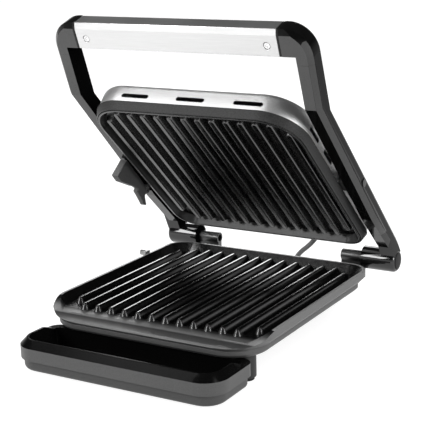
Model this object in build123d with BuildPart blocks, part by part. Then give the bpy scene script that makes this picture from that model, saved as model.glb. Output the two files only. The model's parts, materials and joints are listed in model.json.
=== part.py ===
from build123d import *
from math import atan2, cos, degrees, radians, sin, tan
import os

os.makedirs("parts", exist_ok=True)

# Frame: X right, Y back, Z up, millimetres. The origin is on the floor under the middle of the press.
# The lid stands open. Lid and arm sizes are given in the shut position, as distances u (back) and v (up)
# from the hinge axis, and the planes lid_face and lid_side turn them to the open angle.

# Overall places
grill_y = 18.5
hinge_y = 165.0
hinge_z = 51.0
open_angle = 42.6

# Ribs of both plates
rib_margin = 20.0
rib_count = 14
rib_length = 228.0
short_rib_length = 200.0
rib_height = 6.0
rib_foot_width = 9.0
rib_top_width = 3.4
upper_rib_length = 220.0
upper_short_rib_length = 192.0
rib_top_z = 46.0

# Lower plate, a shallow pan with a pour lip at the front
pan_half_width = 124.0
pan_front = 147.0
pan_back = 123.0
pan_front_radius = 45.0
pan_back_radius = 24.0
pan_rim_above_ribs = 3.0
pan_wall = 2.6
pan_wall_slope = 42.0
pan_band = 7.7
pan_skirt_drop = 7.3
pan_skirt_inset = 7.0
pan_floor = 4.0
pan_floor_margin = 9.0
lip_half_width = 80.0
lip_drop = 3.6
lip_crease = 122.0
rim_fall_start = 96.0
rim_fall_end = 138.0
rim_above_lip = 1.2

# Base housing and belly
base_bottom_z = 26.5
base_wall = 2.5
base_bevel = 3.0
belly_inset = 42.0
belly_front = 70.0
belly_back = 84.0
belly_bottom_z = 11.0
belly_wall = 2.0
belly_radius = 16.0
belly_ledge = 5.0

# Feet
foot_front_inset = 26.0
foot_back_inset = 58.0
foot_front = 113.0
foot_back = 100.0
foot_radius = 10.0
foot_pad_radius = 8.0
foot_pad = 3.0

# Drip tray
tray_half_width = 114.5
tray_front = 197.0
tray_depth = 72.0
tray_lift = 0.6
tray_band_z = 12.5
tray_edge_z = 25.0
tray_rim_rise = 6.5
tray_rim_slope = 45.0
tray_step = 3.0
tray_radius = 24.0
tray_back_radius = 12.0
tray_wall = 2.0
tray_foot_radius = 5.0
tray_rim_gap = 2.4
tray_tab_width = 36.0
tray_tab_x = 58.0
tray_tab_reach = 8.0
tray_tab = 2.4
tray_tab_z = 17.0
tray_guide_web = 3.0
tray_guide_leg = 2.6
tray_guide_width = 22.0
tray_clearance = 0.4
tray_stop_gap = 0.8

# Hinge
knuckle_length = 26.0
knuckle_radius = 6.2
knuckle_web = 8.0
knuckle_foot = 5.0
hinge_pin_radius = 4.0
hinge_pin_start = 7.0
pin_end_wall = 5.0
running_clearance = 0.05
side_gap = 0.4

# Arms
arm_gap = 6.2
arm_width = 16.0
barrel_radius = 12.6
barrel_length = 22.6
barrel_proud = 1.0
barrel_end_radius = 5.0
arm_heel_u = -24.0
arm_heel_v = 3.0
arm_knee_u = -85.0
arm_knee_v = 2.4
arm_bend_u = -273.0
arm_bend_v = 13.0
arm_top_rear_u = -33.0
arm_top_rear_v = 19.4
arm_top_front_u = -240.0
arm_top_front_v = 27.8
bend_angle = 27.0
grip_reach = 54.0
front_thickness = 22.0
elbow_radius = 28.0
arm_top_round = 4.0
arm_low_bevel = 4.5
seam_share_v = 6.8
seam_start_u = -52.0
seam_end = 8.0

# Handle bar
elbow_tail = 13.6
bar_face = 21.0
bar_height = 27.0
bar_bevel_depth = 2.2
bar_thickness = 18.0
bar_wall = 1.6
collar = 2.4
core_clearance = 0.15
core_tail = 6.0
handle_screw_inset = 11.2
handle_screw_place = 10.5
screw_radius = 2.0
screw_head_radius = 3.6
screw_head = 2.0
screw_length = 9.0
screw_recess = 0.5

# Lid
lid_inside_pan = 5.6
lid_front_u = -272.6
lid_back_u = -29.4
lid_front_radius = 40.0
lid_back_radius = 24.0
band_bottom_v = -1.2
band_height = 9.2
band_flare = 3.4
cover_inset = 1.2
cover_height = 22.0
cover_edge_radius = 7.0
cover_sheet = 1.0
plate_gap = 0.4
plate_inset = 1.6
plate_rim_v = -2.0
plate_depth = 13.0
plate_wall = 2.2
plate_wall_slope = 24.0
lid_floor = 4.0
shut_rib_gap = 6.0
slot_height = 4.8
slot_end_radius = 2.0
slot_middle_v = 15.0
front_slot_length = 32.0
front_slot_pitch = 64.5
front_slot_shift = 3.5
side_slot_length = 25.0
side_slot_near = 35.5
side_slot_far = 75.6
lead_slot_width = 11.0
lead_slot_low_v = 9.5
lead_slot_high_v = 27.0

# Lid pivot
pivot_u = -140.0
pivot_v = 16.0
pivot_pin_radius = 3.5
pivot_pin_tail = 5.4
bush_radius = 5.5
bush_block_length = 20.0
bush_block_height = 15.0
bush_block_radius = 4.0
bush_block = 6.4
bush_nut = 2.2
bush_nut_radius = 7.2
cap_radius = 4.5
cap_height = 0.8

# Lock lever, its pivot and its catch
lever_pivot_u = -102.0
lever_pivot_v = 1.5
lever_inset = 1.2
lever_thickness = 6.0
lever_boss_radius = 5.5
lock_turn = 35.0
paddle_thickness = 8.5
paddle_start = 24.0
paddle_length = 36.0
paddle_depth = 23.0
paddle_gap = 1.4
paddle_rake = 4.0
paddle_tip = 11.0
paddle_tip_drop = 1.0
paddle_root = 13.0
hook_gap = 0.5
hook_past = 0.8
hook_leg = 3.6
hook_nose = 1.5
hook_heel = 16.0
hook_drop = 13.0
lug_thickness = 6.0
lug_radius = 6.0
lug_root = 5.0
lever_room = 1.0
lever_pin_radius = 2.5
catch_radius = 3.0
catch_u = -86.0
catch_v = -2.0
catch_plate = 3.4
catch_width = 9.0
catch_top = 2.6
catch_reach = 5.5

# Heating and switching
element_radius = 3.2
element_half_width = 88.0
element_front = 82.0
element_back = 86.0
element_bend = 26.0
element_gap = 22.0
element_tail = 14.0
reflector_sheet = 0.4
reflector_margin = 6.0
reflector_gap = 2.0
thermostat_radius = 9.0
thermostat_height = 6.0
fuse_radius = 2.0
fuse_length = 14.0
terminal_length = 34.0
terminal_depth = 15.0
terminal_height = 12.0
stud_radius = 3.0
stud_x = 60.0
stud_y = 40.0

# Lamps in the lid
lamp_radius = 4.0
lamp_pitch = 26.0
lamp_u = -246.0
lamp_body = 7.0
lamp_dome = 1.6

# Lead and inlets
lead_radius = 2.75
lead_exit_x = 22.0
lead_z = 19.0
inlet_from_foot = 21.0
gland_radius = 5.6
gland_bore_radius = 3.4
gland_length = 14.0
gland_flange = 2.0
gland_flange_radius = 7.0
lid_lead_x = 54.0
lid_lead_v = 20.0
lead_tail = 14.0
lead_run = 46.0
lead_step = 3.0
lead_behind = 10.0
lead_low = 16.0
lead_drop = 4.0
lead_rise = 11.5
lead_loop = 9.0
lead_mid_x = 47.0
cut_margin = 20.0

# Derived widths, from the pan outwards
lid_half_width = pan_half_width - lid_inside_pan
cover_half_width = lid_half_width + band_flare - cover_inset
arm_inner_x = lid_half_width + band_flare + arm_gap
arm_outer_x = arm_inner_x + arm_width
barrel_end_x = arm_outer_x + barrel_proud
knuckle_outer_x = arm_inner_x - barrel_length - side_gap
knuckle_inner_x = knuckle_outer_x - knuckle_length
hinge_pin_end_x = arm_outer_x - pin_end_wall
elbow_x = arm_inner_x - elbow_tail
bar_half_length = elbow_x - collar
handle_screw_x = bar_half_length - handle_screw_inset
pivot_pin_inner_x = cover_half_width - cover_sheet - bush_nut - pivot_pin_tail
pivot_pin_outer_x = arm_outer_x - pin_end_wall
lever_inner_x = arm_inner_x + lever_inset
foot_front_x = pan_half_width - foot_front_inset
foot_back_x = pan_half_width - foot_back_inset
belly_half_width = pan_half_width - belly_inset
inlet_x = inlet_from_foot - foot_back_x
rib_pitch = 2 * (pan_half_width - rib_margin) / (rib_count - 1)

# Derived heights and places
floor_z = rib_top_z - rib_height
rim_z = rib_top_z + pan_rim_above_ribs
band_z = rim_z - pan_band
skirt_z = band_z - pan_skirt_drop
pan_underside_z = floor_z - pan_floor
lip_z = floor_z - lip_drop
pan_front_y = grill_y - pan_front
pan_back_y = grill_y + pan_back
tray_front_y = grill_y - tray_front
tray_back_y = tray_front_y + tray_depth
belly_front_y = grill_y - belly_front
belly_back_y = grill_y + belly_back
base_floor_z = base_bottom_z + base_wall
band_top_v = band_bottom_v + band_height
cover_top_v = band_top_v + cover_height
lid_middle_u = (lid_front_u + lid_back_u) / 2
plate_top_v = plate_rim_v + plate_depth
upper_floor_v = plate_top_v - lid_floor
upper_rib_v = rib_top_z + shut_rib_gap - hinge_z


def face_plane(origin, angle):
    up = (0, sin(radians(angle)), cos(radians(angle)))
    return Plane(origin=origin, x_dir=(1, 0, 0), z_dir=up)


def side_plane(origin, angle):
    back = (0, cos(radians(angle)), -sin(radians(angle)))
    return Plane(origin=origin, x_dir=back, z_dir=(1, 0, 0))


hinge_point = (0, hinge_y, hinge_z)
lid_face = face_plane(hinge_point, open_angle)
lid_side = side_plane(hinge_point, open_angle)
grip_u = arm_bend_u - grip_reach * cos(radians(bend_angle))
grip_v = arm_bend_v + grip_reach * sin(radians(bend_angle))
grip_point = lid_side.from_local_coords((grip_u, grip_v, 0))
grip_face = face_plane(grip_point, open_angle + bend_angle)
grip_side = side_plane(grip_point, open_angle + bend_angle)


def keep(builder, name):
    builder.part.label = name
    export_step(builder.part, f"parts/{name}.step")


def rounded_plan(half_width, front, back, front_radius, back_radius):
    with BuildSketch() as plan:
        with Locations((0, (front + back) / 2)):
            Rectangle(2 * half_width, back - front)
        corners = plan.vertices().group_by(Axis.Y)
        fillet(corners[0], front_radius)
        corners = plan.vertices().group_by(Axis.Y)
        fillet(corners[-1], back_radius)
    return plan.sketch


def inset_plan(plan, amount):
    with BuildSketch() as inner:
        add(plan)
        offset(amount=-amount, kind=Kind.ARC, mode=Mode.REPLACE)
    return inner.sketch


pan_plan = rounded_plan(pan_half_width, pan_front_y, pan_back_y, pan_front_radius, pan_back_radius)
lid_plan = rounded_plan(lid_half_width, lid_front_u, lid_back_u, lid_front_radius, lid_back_radius)
base_plan = inset_plan(pan_plan, pan_skirt_inset)

rib_taper = degrees(atan2((rib_foot_width - rib_top_width) / 2, rib_height))
skirt_taper = degrees(atan2(pan_skirt_inset, pan_skirt_drop))
flare_taper = degrees(atan2(band_flare, band_height))


# Lower grill plate
with BuildPart() as lower_plate:
    with BuildSketch(Plane.XY.offset(band_z)):
        add(pan_plan)
    extrude(amount=pan_band)
    with BuildSketch(Plane.XY.offset(band_z)):
        add(pan_plan)
    extrude(amount=pan_skirt_drop, dir=(0, 0, -1), taper=skirt_taper)
    with BuildSketch(Plane.XY.offset(rim_z)):
        add(pan_plan)
        offset(amount=-pan_wall, kind=Kind.ARC, mode=Mode.REPLACE)
    extrude(amount=rim_z - floor_z, dir=(0, 0, -1), taper=pan_wall_slope, mode=Mode.SUBTRACT)
    with BuildSketch(Plane.YZ) as rim_fall:
        with BuildLine():
            fall_start = (grill_y - rim_fall_start, rim_z)
            fall_end = (grill_y - rim_fall_end, lip_z + rim_above_lip)
            fall_out = (pan_front_y - cut_margin, lip_z + rim_above_lip)
            Spline(fall_start, fall_end, tangents=[(-1, 0), (-1, 0)])
            Polyline(
                fall_end,
                fall_out,
                (fall_out[0], rim_z + cut_margin),
                (fall_start[0], rim_z + cut_margin),
                fall_start,
            )
        make_face()
    extrude(amount=pan_half_width + cut_margin, both=True, mode=Mode.SUBTRACT)
    with BuildSketch(Plane.YZ) as lip_cut:
        with BuildLine():
            Polyline(
                (grill_y - lip_crease, floor_z),
                (pan_front_y, lip_z),
                (pan_front_y, rim_z + cut_margin),
                (grill_y - lip_crease, rim_z + cut_margin),
                close=True,
            )
        make_face()
    extrude(amount=lip_half_width, both=True, mode=Mode.SUBTRACT)
    with BuildSketch(Plane.XY.offset(skirt_z)):
        add(base_plan)
        offset(amount=-pan_floor_margin, kind=Kind.ARC, mode=Mode.REPLACE)
    extrude(amount=pan_underside_z - skirt_z, mode=Mode.SUBTRACT)
    with BuildSketch(face_plane((0, grill_y, floor_z), 0)):
        with GridLocations(rib_pitch, 0, rib_count - 2, 1):
            SlotOverall(rib_length, rib_foot_width, rotation=90)
        with GridLocations(rib_pitch * (rib_count - 1), 0, 2, 1):
            SlotOverall(short_rib_length, rib_foot_width, rotation=90)
    extrude(amount=rib_height, taper=rib_taper)
keep(lower_plate, "lower_grill_plate")

# Base housing: a low wall under the plate, bevelled below, open over the belly
with BuildPart() as base_housing:
    with BuildSketch(Plane.XY.offset(base_bottom_z)):
        add(base_plan)
    extrude(amount=skirt_z - base_bottom_z)
    chamfer(base_housing.faces().sort_by(Axis.Z)[0].edges(), base_bevel)
    with BuildSketch(Plane.XY.offset(base_floor_z)):
        add(base_plan)
        offset(amount=-base_wall, kind=Kind.ARC, mode=Mode.REPLACE)
    extrude(amount=skirt_z - base_floor_z, mode=Mode.SUBTRACT)
    with BuildSketch(Plane.XY.offset(base_bottom_z)):
        with Locations((0, (belly_front_y + belly_back_y) / 2)):
            RectangleRounded(
                2 * (belly_half_width - belly_ledge),
                belly_back_y - belly_front_y - 2 * belly_ledge,
                belly_radius - belly_ledge,
            )
    extrude(amount=base_wall, mode=Mode.SUBTRACT)
keep(base_housing, "base_housing")

# Belly cover under the housing, with the lead's hole and the cord's inlet in its back wall
with BuildPart() as base_cover:
    with BuildSketch(Plane.XY.offset(belly_bottom_z)):
        with Locations((0, (belly_front_y + belly_back_y) / 2)):
            RectangleRounded(2 * belly_half_width, belly_back_y - belly_front_y, belly_radius)
    extrude(amount=base_bottom_z - belly_bottom_z)
    with BuildSketch(Plane.XY.offset(belly_bottom_z + belly_wall)):
        with Locations((0, (belly_front_y + belly_back_y) / 2)):
            RectangleRounded(
                2 * (belly_half_width - belly_wall),
                belly_back_y - belly_front_y - 2 * belly_wall,
                belly_radius - belly_wall,
            )
    extrude(amount=base_bottom_z - belly_bottom_z - belly_wall, mode=Mode.SUBTRACT)
    with BuildSketch(Plane.XZ.offset(-belly_back_y)):
        with Locations((inlet_x, lead_z), (lead_exit_x, lead_z)):
            Circle(gland_radius)
    extrude(amount=belly_wall, mode=Mode.SUBTRACT)
keep(base_cover, "base_cover")


def inlet_bush(x, bore_radius):
    with BuildPart() as bush:
        with BuildSketch(Plane.XZ.offset(-belly_back_y + belly_wall)):
            with Locations((x, lead_z)):
                Circle(gland_radius)
        extrude(amount=-gland_length)
        with BuildSketch(Plane.XZ.offset(-belly_back_y)):
            with Locations((x, lead_z)):
                Circle(gland_flange_radius)
        extrude(amount=-gland_flange)
        with BuildSketch(Plane.XZ.offset(-belly_back_y + belly_wall)):
            with Locations((x, lead_z)):
                Circle(bore_radius)
        extrude(amount=-gland_length, mode=Mode.SUBTRACT)
    return bush


keep(inlet_bush(inlet_x, gland_bore_radius), "cord_gland")
keep(inlet_bush(lead_exit_x, lead_radius), "lead_grommet")

# Feet with their pads
foot_places = [
    (-foot_front_x, grill_y - foot_front),
    (foot_front_x, grill_y - foot_front),
    (-foot_back_x, grill_y + foot_back),
    (foot_back_x, grill_y + foot_back),
]
with BuildPart() as feet:
    with BuildSketch(Plane.XY.offset(base_bottom_z)):
        with Locations(*foot_places):
            Circle(foot_radius)
    extrude(amount=-(base_bottom_z - foot_pad))
keep(feet, "feet")

with BuildPart() as foot_pads:
    with BuildSketch(Plane.XY):
        with Locations(*foot_places):
            Circle(foot_pad_radius)
    extrude(amount=foot_pad)
keep(foot_pads, "foot_pads")

# Drip tray: a stepped trough with a rim that rises inwards at the front and the ends, and two tabs behind
tray_plan = rounded_plan(tray_half_width, tray_front_y, tray_back_y, tray_radius, tray_back_radius)
tray_low_plan = inset_plan(tray_plan, tray_step)
tray_rim_inset = tray_rim_rise * tan(radians(tray_rim_slope))
tray_rim_z = tray_edge_z + tray_rim_rise
with BuildPart() as drip_tray:
    with BuildSketch(Plane.XY.offset(tray_lift)):
        add(tray_low_plan)
    extrude(amount=tray_band_z - tray_lift)
    fillet(drip_tray.faces().sort_by(Axis.Z)[0].edges(), tray_foot_radius)
    with BuildSketch(Plane.XY.offset(tray_band_z)):
        add(tray_plan)
    extrude(amount=tray_edge_z - tray_band_z)
    with BuildSketch(Plane.XY.offset(tray_edge_z)):
        add(tray_plan)
    extrude(amount=tray_rim_rise, taper=tray_rim_slope)
    with BuildSketch(Plane.XY.offset(tray_edge_z)):
        add(pan_plan)
        offset(amount=tray_rim_gap, kind=Kind.ARC, mode=Mode.REPLACE)
    extrude(amount=tray_rim_rise, mode=Mode.SUBTRACT)
    with BuildSketch(Plane.XY.offset(tray_rim_z)):
        add(tray_plan)
        offset(amount=-tray_rim_inset - tray_wall, kind=Kind.ARC, mode=Mode.REPLACE)
    extrude(amount=-(tray_rim_z - tray_lift - tray_wall), mode=Mode.SUBTRACT)
    with BuildSketch(Plane.XY.offset(tray_tab_z)):
        with Locations((-tray_tab_x, tray_back_y), (tray_tab_x, tray_back_y)):
            Rectangle(tray_tab_width, 2 * tray_tab_reach, align=(Align.CENTER, Align.CENTER))
    extrude(amount=tray_tab)
    with BuildSketch(Plane.XY.offset(tray_edge_z)):
        add(tray_plan)
        offset(amount=-tray_rim_inset - tray_wall, kind=Kind.ARC, mode=Mode.REPLACE)
    extrude(amount=-(tray_edge_z - tray_lift - tray_wall), mode=Mode.SUBTRACT)
keep(drip_tray, "drip_tray")

# Guides under the housing: a web behind each tab and a leg below it
with BuildPart() as tray_guides:
    guide_back_y = tray_back_y + tray_tab_reach + tray_stop_gap + tray_guide_web
    guide_low_z = tray_tab_z - tray_clearance - tray_guide_leg
    with BuildSketch(Plane.YZ.offset(tray_tab_x - tray_guide_width / 2)):
        with BuildLine():
            Polyline(
                (guide_back_y, base_bottom_z),
                (guide_back_y, guide_low_z),
                (tray_back_y + tray_stop_gap, guide_low_z),
                (tray_back_y + tray_stop_gap, guide_low_z + tray_guide_leg),
                (guide_back_y - tray_guide_web, guide_low_z + tray_guide_leg),
                (guide_back_y - tray_guide_web, base_bottom_z),
                close=True,
            )
        make_face()
    extrude(amount=tray_guide_width)
    mirror(about=Plane.YZ)
keep(tray_guides, "tray_guides")

# Hinge brackets: a foot against the housing, a web and the knuckle
with BuildPart() as knuckle_right:
    base_back_y = pan_back_y - pan_skirt_inset
    with BuildSketch(Plane.YZ.offset(knuckle_inner_x)):
        with Locations((hinge_y, hinge_z)):
            Circle(knuckle_radius)
        with BuildLine():
            Polyline(
                (base_back_y, base_bottom_z),
                (hinge_y + knuckle_web / 2, base_bottom_z),
                (hinge_y + knuckle_web / 2, hinge_z),
                (hinge_y - knuckle_web / 2, hinge_z),
                (hinge_y - knuckle_web / 2, base_bottom_z + knuckle_foot),
                (base_back_y, base_bottom_z + knuckle_foot),
                close=True,
            )
        make_face()
        with Locations((hinge_y, hinge_z)):
            Circle(hinge_pin_radius, mode=Mode.SUBTRACT)
    extrude(amount=knuckle_outer_x - knuckle_inner_x)
keep(knuckle_right, "hinge_knuckle_right")

with BuildPart() as knuckle_left:
    mirror(knuckle_right.part, about=Plane.YZ)
keep(knuckle_left, "hinge_knuckle_left")

with BuildPart() as hinge_pin_right:
    with BuildSketch(Plane.YZ.offset(knuckle_inner_x + hinge_pin_start)):
        with Locations((hinge_y, hinge_z)):
            Circle(hinge_pin_radius)
    extrude(amount=hinge_pin_end_x - knuckle_inner_x - hinge_pin_start)
keep(hinge_pin_right, "hinge_pin_right")

with BuildPart() as hinge_pin_left:
    mirror(hinge_pin_right.part, about=Plane.YZ)
keep(hinge_pin_left, "hinge_pin_left")

# Catch on the left side of the base: a foot on the housing wall, a plate beside the skirt, a stub
catch_y = hinge_y + catch_u
catch_z = hinge_z + catch_v
catch_wall_x = pan_half_width + side_gap
with BuildPart() as lock_catch:
    with BuildSketch(Plane.XZ.offset(-catch_y - catch_width / 2)):
        with BuildLine():
            Polyline(
                (-(pan_half_width - pan_skirt_inset), base_bottom_z + base_bevel),
                (-(catch_wall_x + catch_plate), base_bottom_z + base_bevel),
                (-(catch_wall_x + catch_plate), catch_z + catch_top),
                (-catch_wall_x, catch_z + catch_top),
                (-catch_wall_x, skirt_z),
                (-(pan_half_width - pan_skirt_inset), skirt_z),
                close=True,
            )
        make_face()
    extrude(amount=catch_width)
    with BuildSketch(Plane.YZ.offset(-catch_wall_x - catch_plate)):
        with Locations((catch_y, catch_z)):
            Circle(catch_radius)
    extrude(amount=-catch_reach)
keep(lock_catch, "lock_catch")


def element_tube(plane, name):
    with BuildPart() as tube:
        with BuildLine(plane) as route:
            FilletPolyline(
                (-element_gap, element_back + element_tail),
                (-element_gap, element_back - element_bend),
                (-element_half_width, element_back - element_bend),
                (-element_half_width, -element_front),
                (element_half_width, -element_front),
                (element_half_width, element_back - element_bend),
                (element_gap, element_back - element_bend),
                (element_gap, element_back + element_tail),
                radius=element_gap - element_radius,
            )
        with BuildSketch(Plane(origin=route.line @ 0, z_dir=route.line % 0)):
            Circle(element_radius)
        sweep(path=route.line)
    keep(tube, name)


def reflector_sheet_part(plane, name):
    with BuildPart() as sheet:
        with BuildSketch(plane):
            Rectangle(
                2 * (element_half_width + element_radius + reflector_margin),
                element_front + element_back + 2 * reflector_margin,
            )
        extrude(amount=reflector_sheet)
    keep(sheet, name)


def thermostat(plane, name):
    with BuildPart() as disc:
        with BuildSketch(plane):
            Circle(thermostat_radius)
        extrude(amount=thermostat_height)
    keep(disc, name)


def thermal_fuse(plane, name):
    with BuildPart() as fuse:
        with BuildSketch(plane):
            Circle(fuse_radius)
        extrude(amount=fuse_length / 2, both=True)
    keep(fuse, name)


def plate_studs(plane, height, name):
    with BuildPart() as studs:
        with BuildSketch(plane):
            with GridLocations(2 * stud_x, 2 * stud_y, 2, 2):
                Circle(stud_radius)
        extrude(amount=height)
    keep(studs, name)


# Heating and switching in the base
element_tube(face_plane((0, grill_y, pan_underside_z - element_radius), 0), "lower_heating_element")
reflector_sheet_part(face_plane((0, grill_y, base_floor_z), 0), "lower_reflector")
thermostat(face_plane((0, grill_y, pan_underside_z - thermostat_height), 0), "base_thermostat")
thermal_fuse(
    Plane(origin=(element_gap, grill_y, pan_underside_z - fuse_radius), x_dir=(1, 0, 0), z_dir=(0, 1, 0)),
    "base_thermal_fuse",
)
plate_studs(
    face_plane((0, grill_y, base_floor_z + reflector_sheet), 0),
    pan_underside_z - base_floor_z - reflector_sheet,
    "lower_plate_studs",
)
with BuildPart() as terminal_block:
    with BuildSketch(Plane.XY.offset(belly_bottom_z + belly_wall)):
        with Locations((0, belly_back_y - terminal_depth - gland_length)):
            Rectangle(terminal_length, terminal_depth)
    extrude(amount=terminal_height)
keep(terminal_block, "terminal_block")

with BuildPart() as base_screws:
    with BuildSketch(Plane.XY.offset(belly_bottom_z)):
        with Locations((0, (belly_front_y + belly_back_y) / 2)):
            with GridLocations(
                2 * (belly_half_width - belly_radius), belly_back_y - belly_front_y - 2 * belly_radius, 2, 2
            ):
                Circle(screw_head_radius)
    extrude(amount=-screw_head)
keep(base_screws, "base_screws")

# Side shapes of the arm, its front section turned up to the grip
slope_front = tan(radians(bend_angle))
slope_rear = (arm_top_front_v - arm_top_rear_v) / (arm_top_front_u - arm_top_rear_u)


def grip_to_lid(back, up):
    turn = radians(bend_angle)
    return (grip_u + back * cos(turn) + up * sin(turn), grip_v - back * sin(turn) + up * cos(turn))


front_edge_u, front_edge_v = grip_to_lid(0, front_thickness)
rear_line_v = arm_top_rear_v - slope_rear * arm_top_rear_u
front_line_v = front_edge_v + slope_front * front_edge_u
bend_top_u = (front_line_v - rear_line_v) / (slope_front + slope_rear)
bend_top_v = rear_line_v + slope_rear * bend_top_u

arm_outline = [
    (0, -barrel_radius / 2),
    (arm_heel_u, arm_heel_v),
    (arm_knee_u, arm_knee_v),
    (arm_bend_u, arm_bend_v),
    (grip_u, grip_v),
    grip_to_lid(-bar_face, 0),
    grip_to_lid(-bar_height, bar_bevel_depth),
    grip_to_lid(-bar_height, front_thickness),
    (bend_top_u, bend_top_v),
    (arm_top_rear_u, arm_top_rear_v),
    (0, barrel_radius),
]
elbow_outline = [
    (0, 0),
    (-bar_face, 0),
    (-bar_height, bar_bevel_depth),
    (-bar_height, front_thickness),
    (0, front_thickness),
]
bar_outline = [
    (0, 0),
    (-bar_face, 0),
    (-bar_height, bar_bevel_depth),
    (-bar_height, bar_thickness),
    (0, bar_thickness),
]
cover_outline = [
    (seam_start_u, arm_knee_v + seam_share_v),
    (arm_bend_u, arm_bend_v + seam_share_v),
    grip_to_lid(seam_end, seam_share_v),
    grip_to_lid(seam_end, -cut_margin),
    (arm_bend_u, arm_bend_v - cut_margin),
    (seam_start_u, arm_knee_v - cut_margin),
]


def inner_bar_sketch(clearance):
    with BuildSketch() as inner:
        with BuildLine():
            Polyline(*bar_outline, close=True)
        make_face()
        offset(amount=-bar_wall - clearance, kind=Kind.INTERSECTION, mode=Mode.REPLACE)
    return inner.sketch


def is_outer(edge):
    middle = edge @ 0.5
    in_front = lid_face.to_local_coords(middle).Y < arm_knee_u
    outside = (edge @ 0).X > elbow_x and middle.X > arm_outer_x - elbow_radius / 3
    return in_front and outside and edge.length > arm_width


def is_upper(edge):
    middle = edge @ 0.5
    above_front = grip_face.to_local_coords(middle).Z > front_thickness / 2
    above_rear = lid_face.to_local_coords(middle).Z > pivot_v
    return above_front and above_rear


# Right arm, whole: hinge barrel, side shape and elbow, then its bores and the pocket for the handle core
with BuildPart() as arm_whole:
    with BuildSketch(lid_side.offset(knuckle_outer_x + side_gap)):
        Circle(barrel_radius)
    extrude(amount=barrel_end_x - knuckle_outer_x - side_gap)
    fillet(arm_whole.faces().sort_by(Axis.X)[-1].edges(), barrel_end_radius)
    with BuildSketch(lid_side.offset(arm_inner_x)):
        with BuildLine():
            Polyline(*arm_outline, close=True)
        make_face()
    extrude(amount=arm_width)
    with BuildSketch(grip_side.offset(elbow_x)):
        with BuildLine():
            Polyline(*elbow_outline, close=True)
        make_face()
    extrude(amount=arm_outer_x - elbow_x)
    with BuildSketch(grip_face):
        with Locations((arm_outer_x - elbow_radius, elbow_radius - bar_height)):
            Rectangle(elbow_radius + cut_margin, elbow_radius + cut_margin, align=(Align.MIN, Align.MAX))
            Circle(elbow_radius, mode=Mode.SUBTRACT)
    extrude(amount=cut_margin + front_thickness, both=True, mode=Mode.SUBTRACT)
    fillet([edge for edge in arm_whole.edges() if is_outer(edge) and is_upper(edge)], arm_top_round)
    chamfer([edge for edge in arm_whole.edges() if is_outer(edge) and not is_upper(edge)], arm_low_bevel)
    with BuildSketch(lid_side.offset(knuckle_outer_x)):
        Circle(hinge_pin_radius + running_clearance)
    extrude(amount=hinge_pin_end_x + side_gap - knuckle_outer_x, mode=Mode.SUBTRACT)
    with BuildSketch(lid_side.offset(arm_inner_x)):
        with Locations((pivot_u, pivot_v)):
            Circle(pivot_pin_radius)
    extrude(amount=pivot_pin_outer_x - arm_inner_x, mode=Mode.SUBTRACT)
    with BuildSketch(grip_side.offset(elbow_x)):
        add(inner_bar_sketch(0))
    extrude(amount=core_tail + core_clearance, mode=Mode.SUBTRACT)

# The arm is a shell with a cover under it, parted at the seam
with BuildPart() as arm_right:
    add(arm_whole.part)
    with BuildSketch(lid_side.offset(arm_inner_x - cut_margin)):
        with BuildLine():
            Polyline(*cover_outline, close=True)
        make_face()
    extrude(amount=arm_width + 2 * cut_margin, mode=Mode.SUBTRACT)
keep(arm_right, "arm_right")

with BuildPart() as arm_right_cover:
    add(arm_whole.part)
    with BuildSketch(lid_side.offset(arm_inner_x - cut_margin)):
        with BuildLine():
            Polyline(*cover_outline, close=True)
        make_face()
    extrude(amount=arm_width + 2 * cut_margin, mode=Mode.INTERSECT)
keep(arm_right_cover, "arm_right_cover")

with BuildPart() as arm_left:
    mirror(arm_right.part, about=Plane.YZ)
keep(arm_left, "arm_left")

# Left cover with the lug that carries the lock lever
lug_x = lever_inner_x + lever_thickness + side_gap
with BuildPart() as arm_left_cover:
    mirror(arm_right_cover.part, about=Plane.YZ)
    with BuildSketch(lid_side.offset(-arm_inner_x)):
        with Locations((lever_pivot_u, lever_pivot_v)):
            Circle(lever_boss_radius + lever_room)
    extrude(amount=arm_inner_x - lug_x, mode=Mode.SUBTRACT)
    with BuildSketch(lid_side.offset(-lug_x)):
        with Locations((lever_pivot_u, lever_pivot_v)):
            Circle(lug_radius)
            Rectangle(2 * lug_radius, arm_knee_v - lever_pivot_v + lug_root, align=(Align.CENTER, Align.MIN))
    extrude(amount=-lug_thickness)
    with BuildSketch(lid_side.offset(-lug_x)):
        with Locations((lever_pivot_u, lever_pivot_v)):
            Circle(lever_pin_radius)
    extrude(amount=-lug_thickness, mode=Mode.SUBTRACT)
    with BuildSketch(lid_side.offset(-lug_x - lug_thickness)):
        with Locations((lever_pivot_u, lever_pivot_v)):
            Circle(screw_head_radius + core_clearance)
    extrude(amount=-cut_margin, mode=Mode.SUBTRACT)
keep(arm_left_cover, "arm_left_cover")

# Handle: a metal sleeve on a core that is held in both elbows, with a collar at each end
with BuildPart() as handle_bar:
    with BuildSketch(grip_side):
        with BuildLine():
            Polyline(*bar_outline, close=True)
        make_face()
    extrude(amount=bar_half_length, both=True)
    with BuildSketch(grip_side):
        add(inner_bar_sketch(0))
    extrude(amount=bar_half_length, both=True, mode=Mode.SUBTRACT)
    with BuildSketch(grip_face):
        with Locations((-handle_screw_x, -handle_screw_place), (handle_screw_x, -handle_screw_place)):
            Circle(screw_head_radius)
    extrude(amount=bar_wall, mode=Mode.SUBTRACT)
keep(handle_bar, "handle_bar")

with BuildPart() as handle_core:
    with BuildSketch(grip_side):
        add(inner_bar_sketch(core_clearance))
    extrude(amount=elbow_x + core_tail, both=True)
    with BuildSketch(grip_face):
        with Locations((-handle_screw_x, -handle_screw_place), (handle_screw_x, -handle_screw_place)):
            Circle(screw_radius)
    extrude(amount=screw_length, mode=Mode.SUBTRACT)
keep(handle_core, "handle_core")

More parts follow.
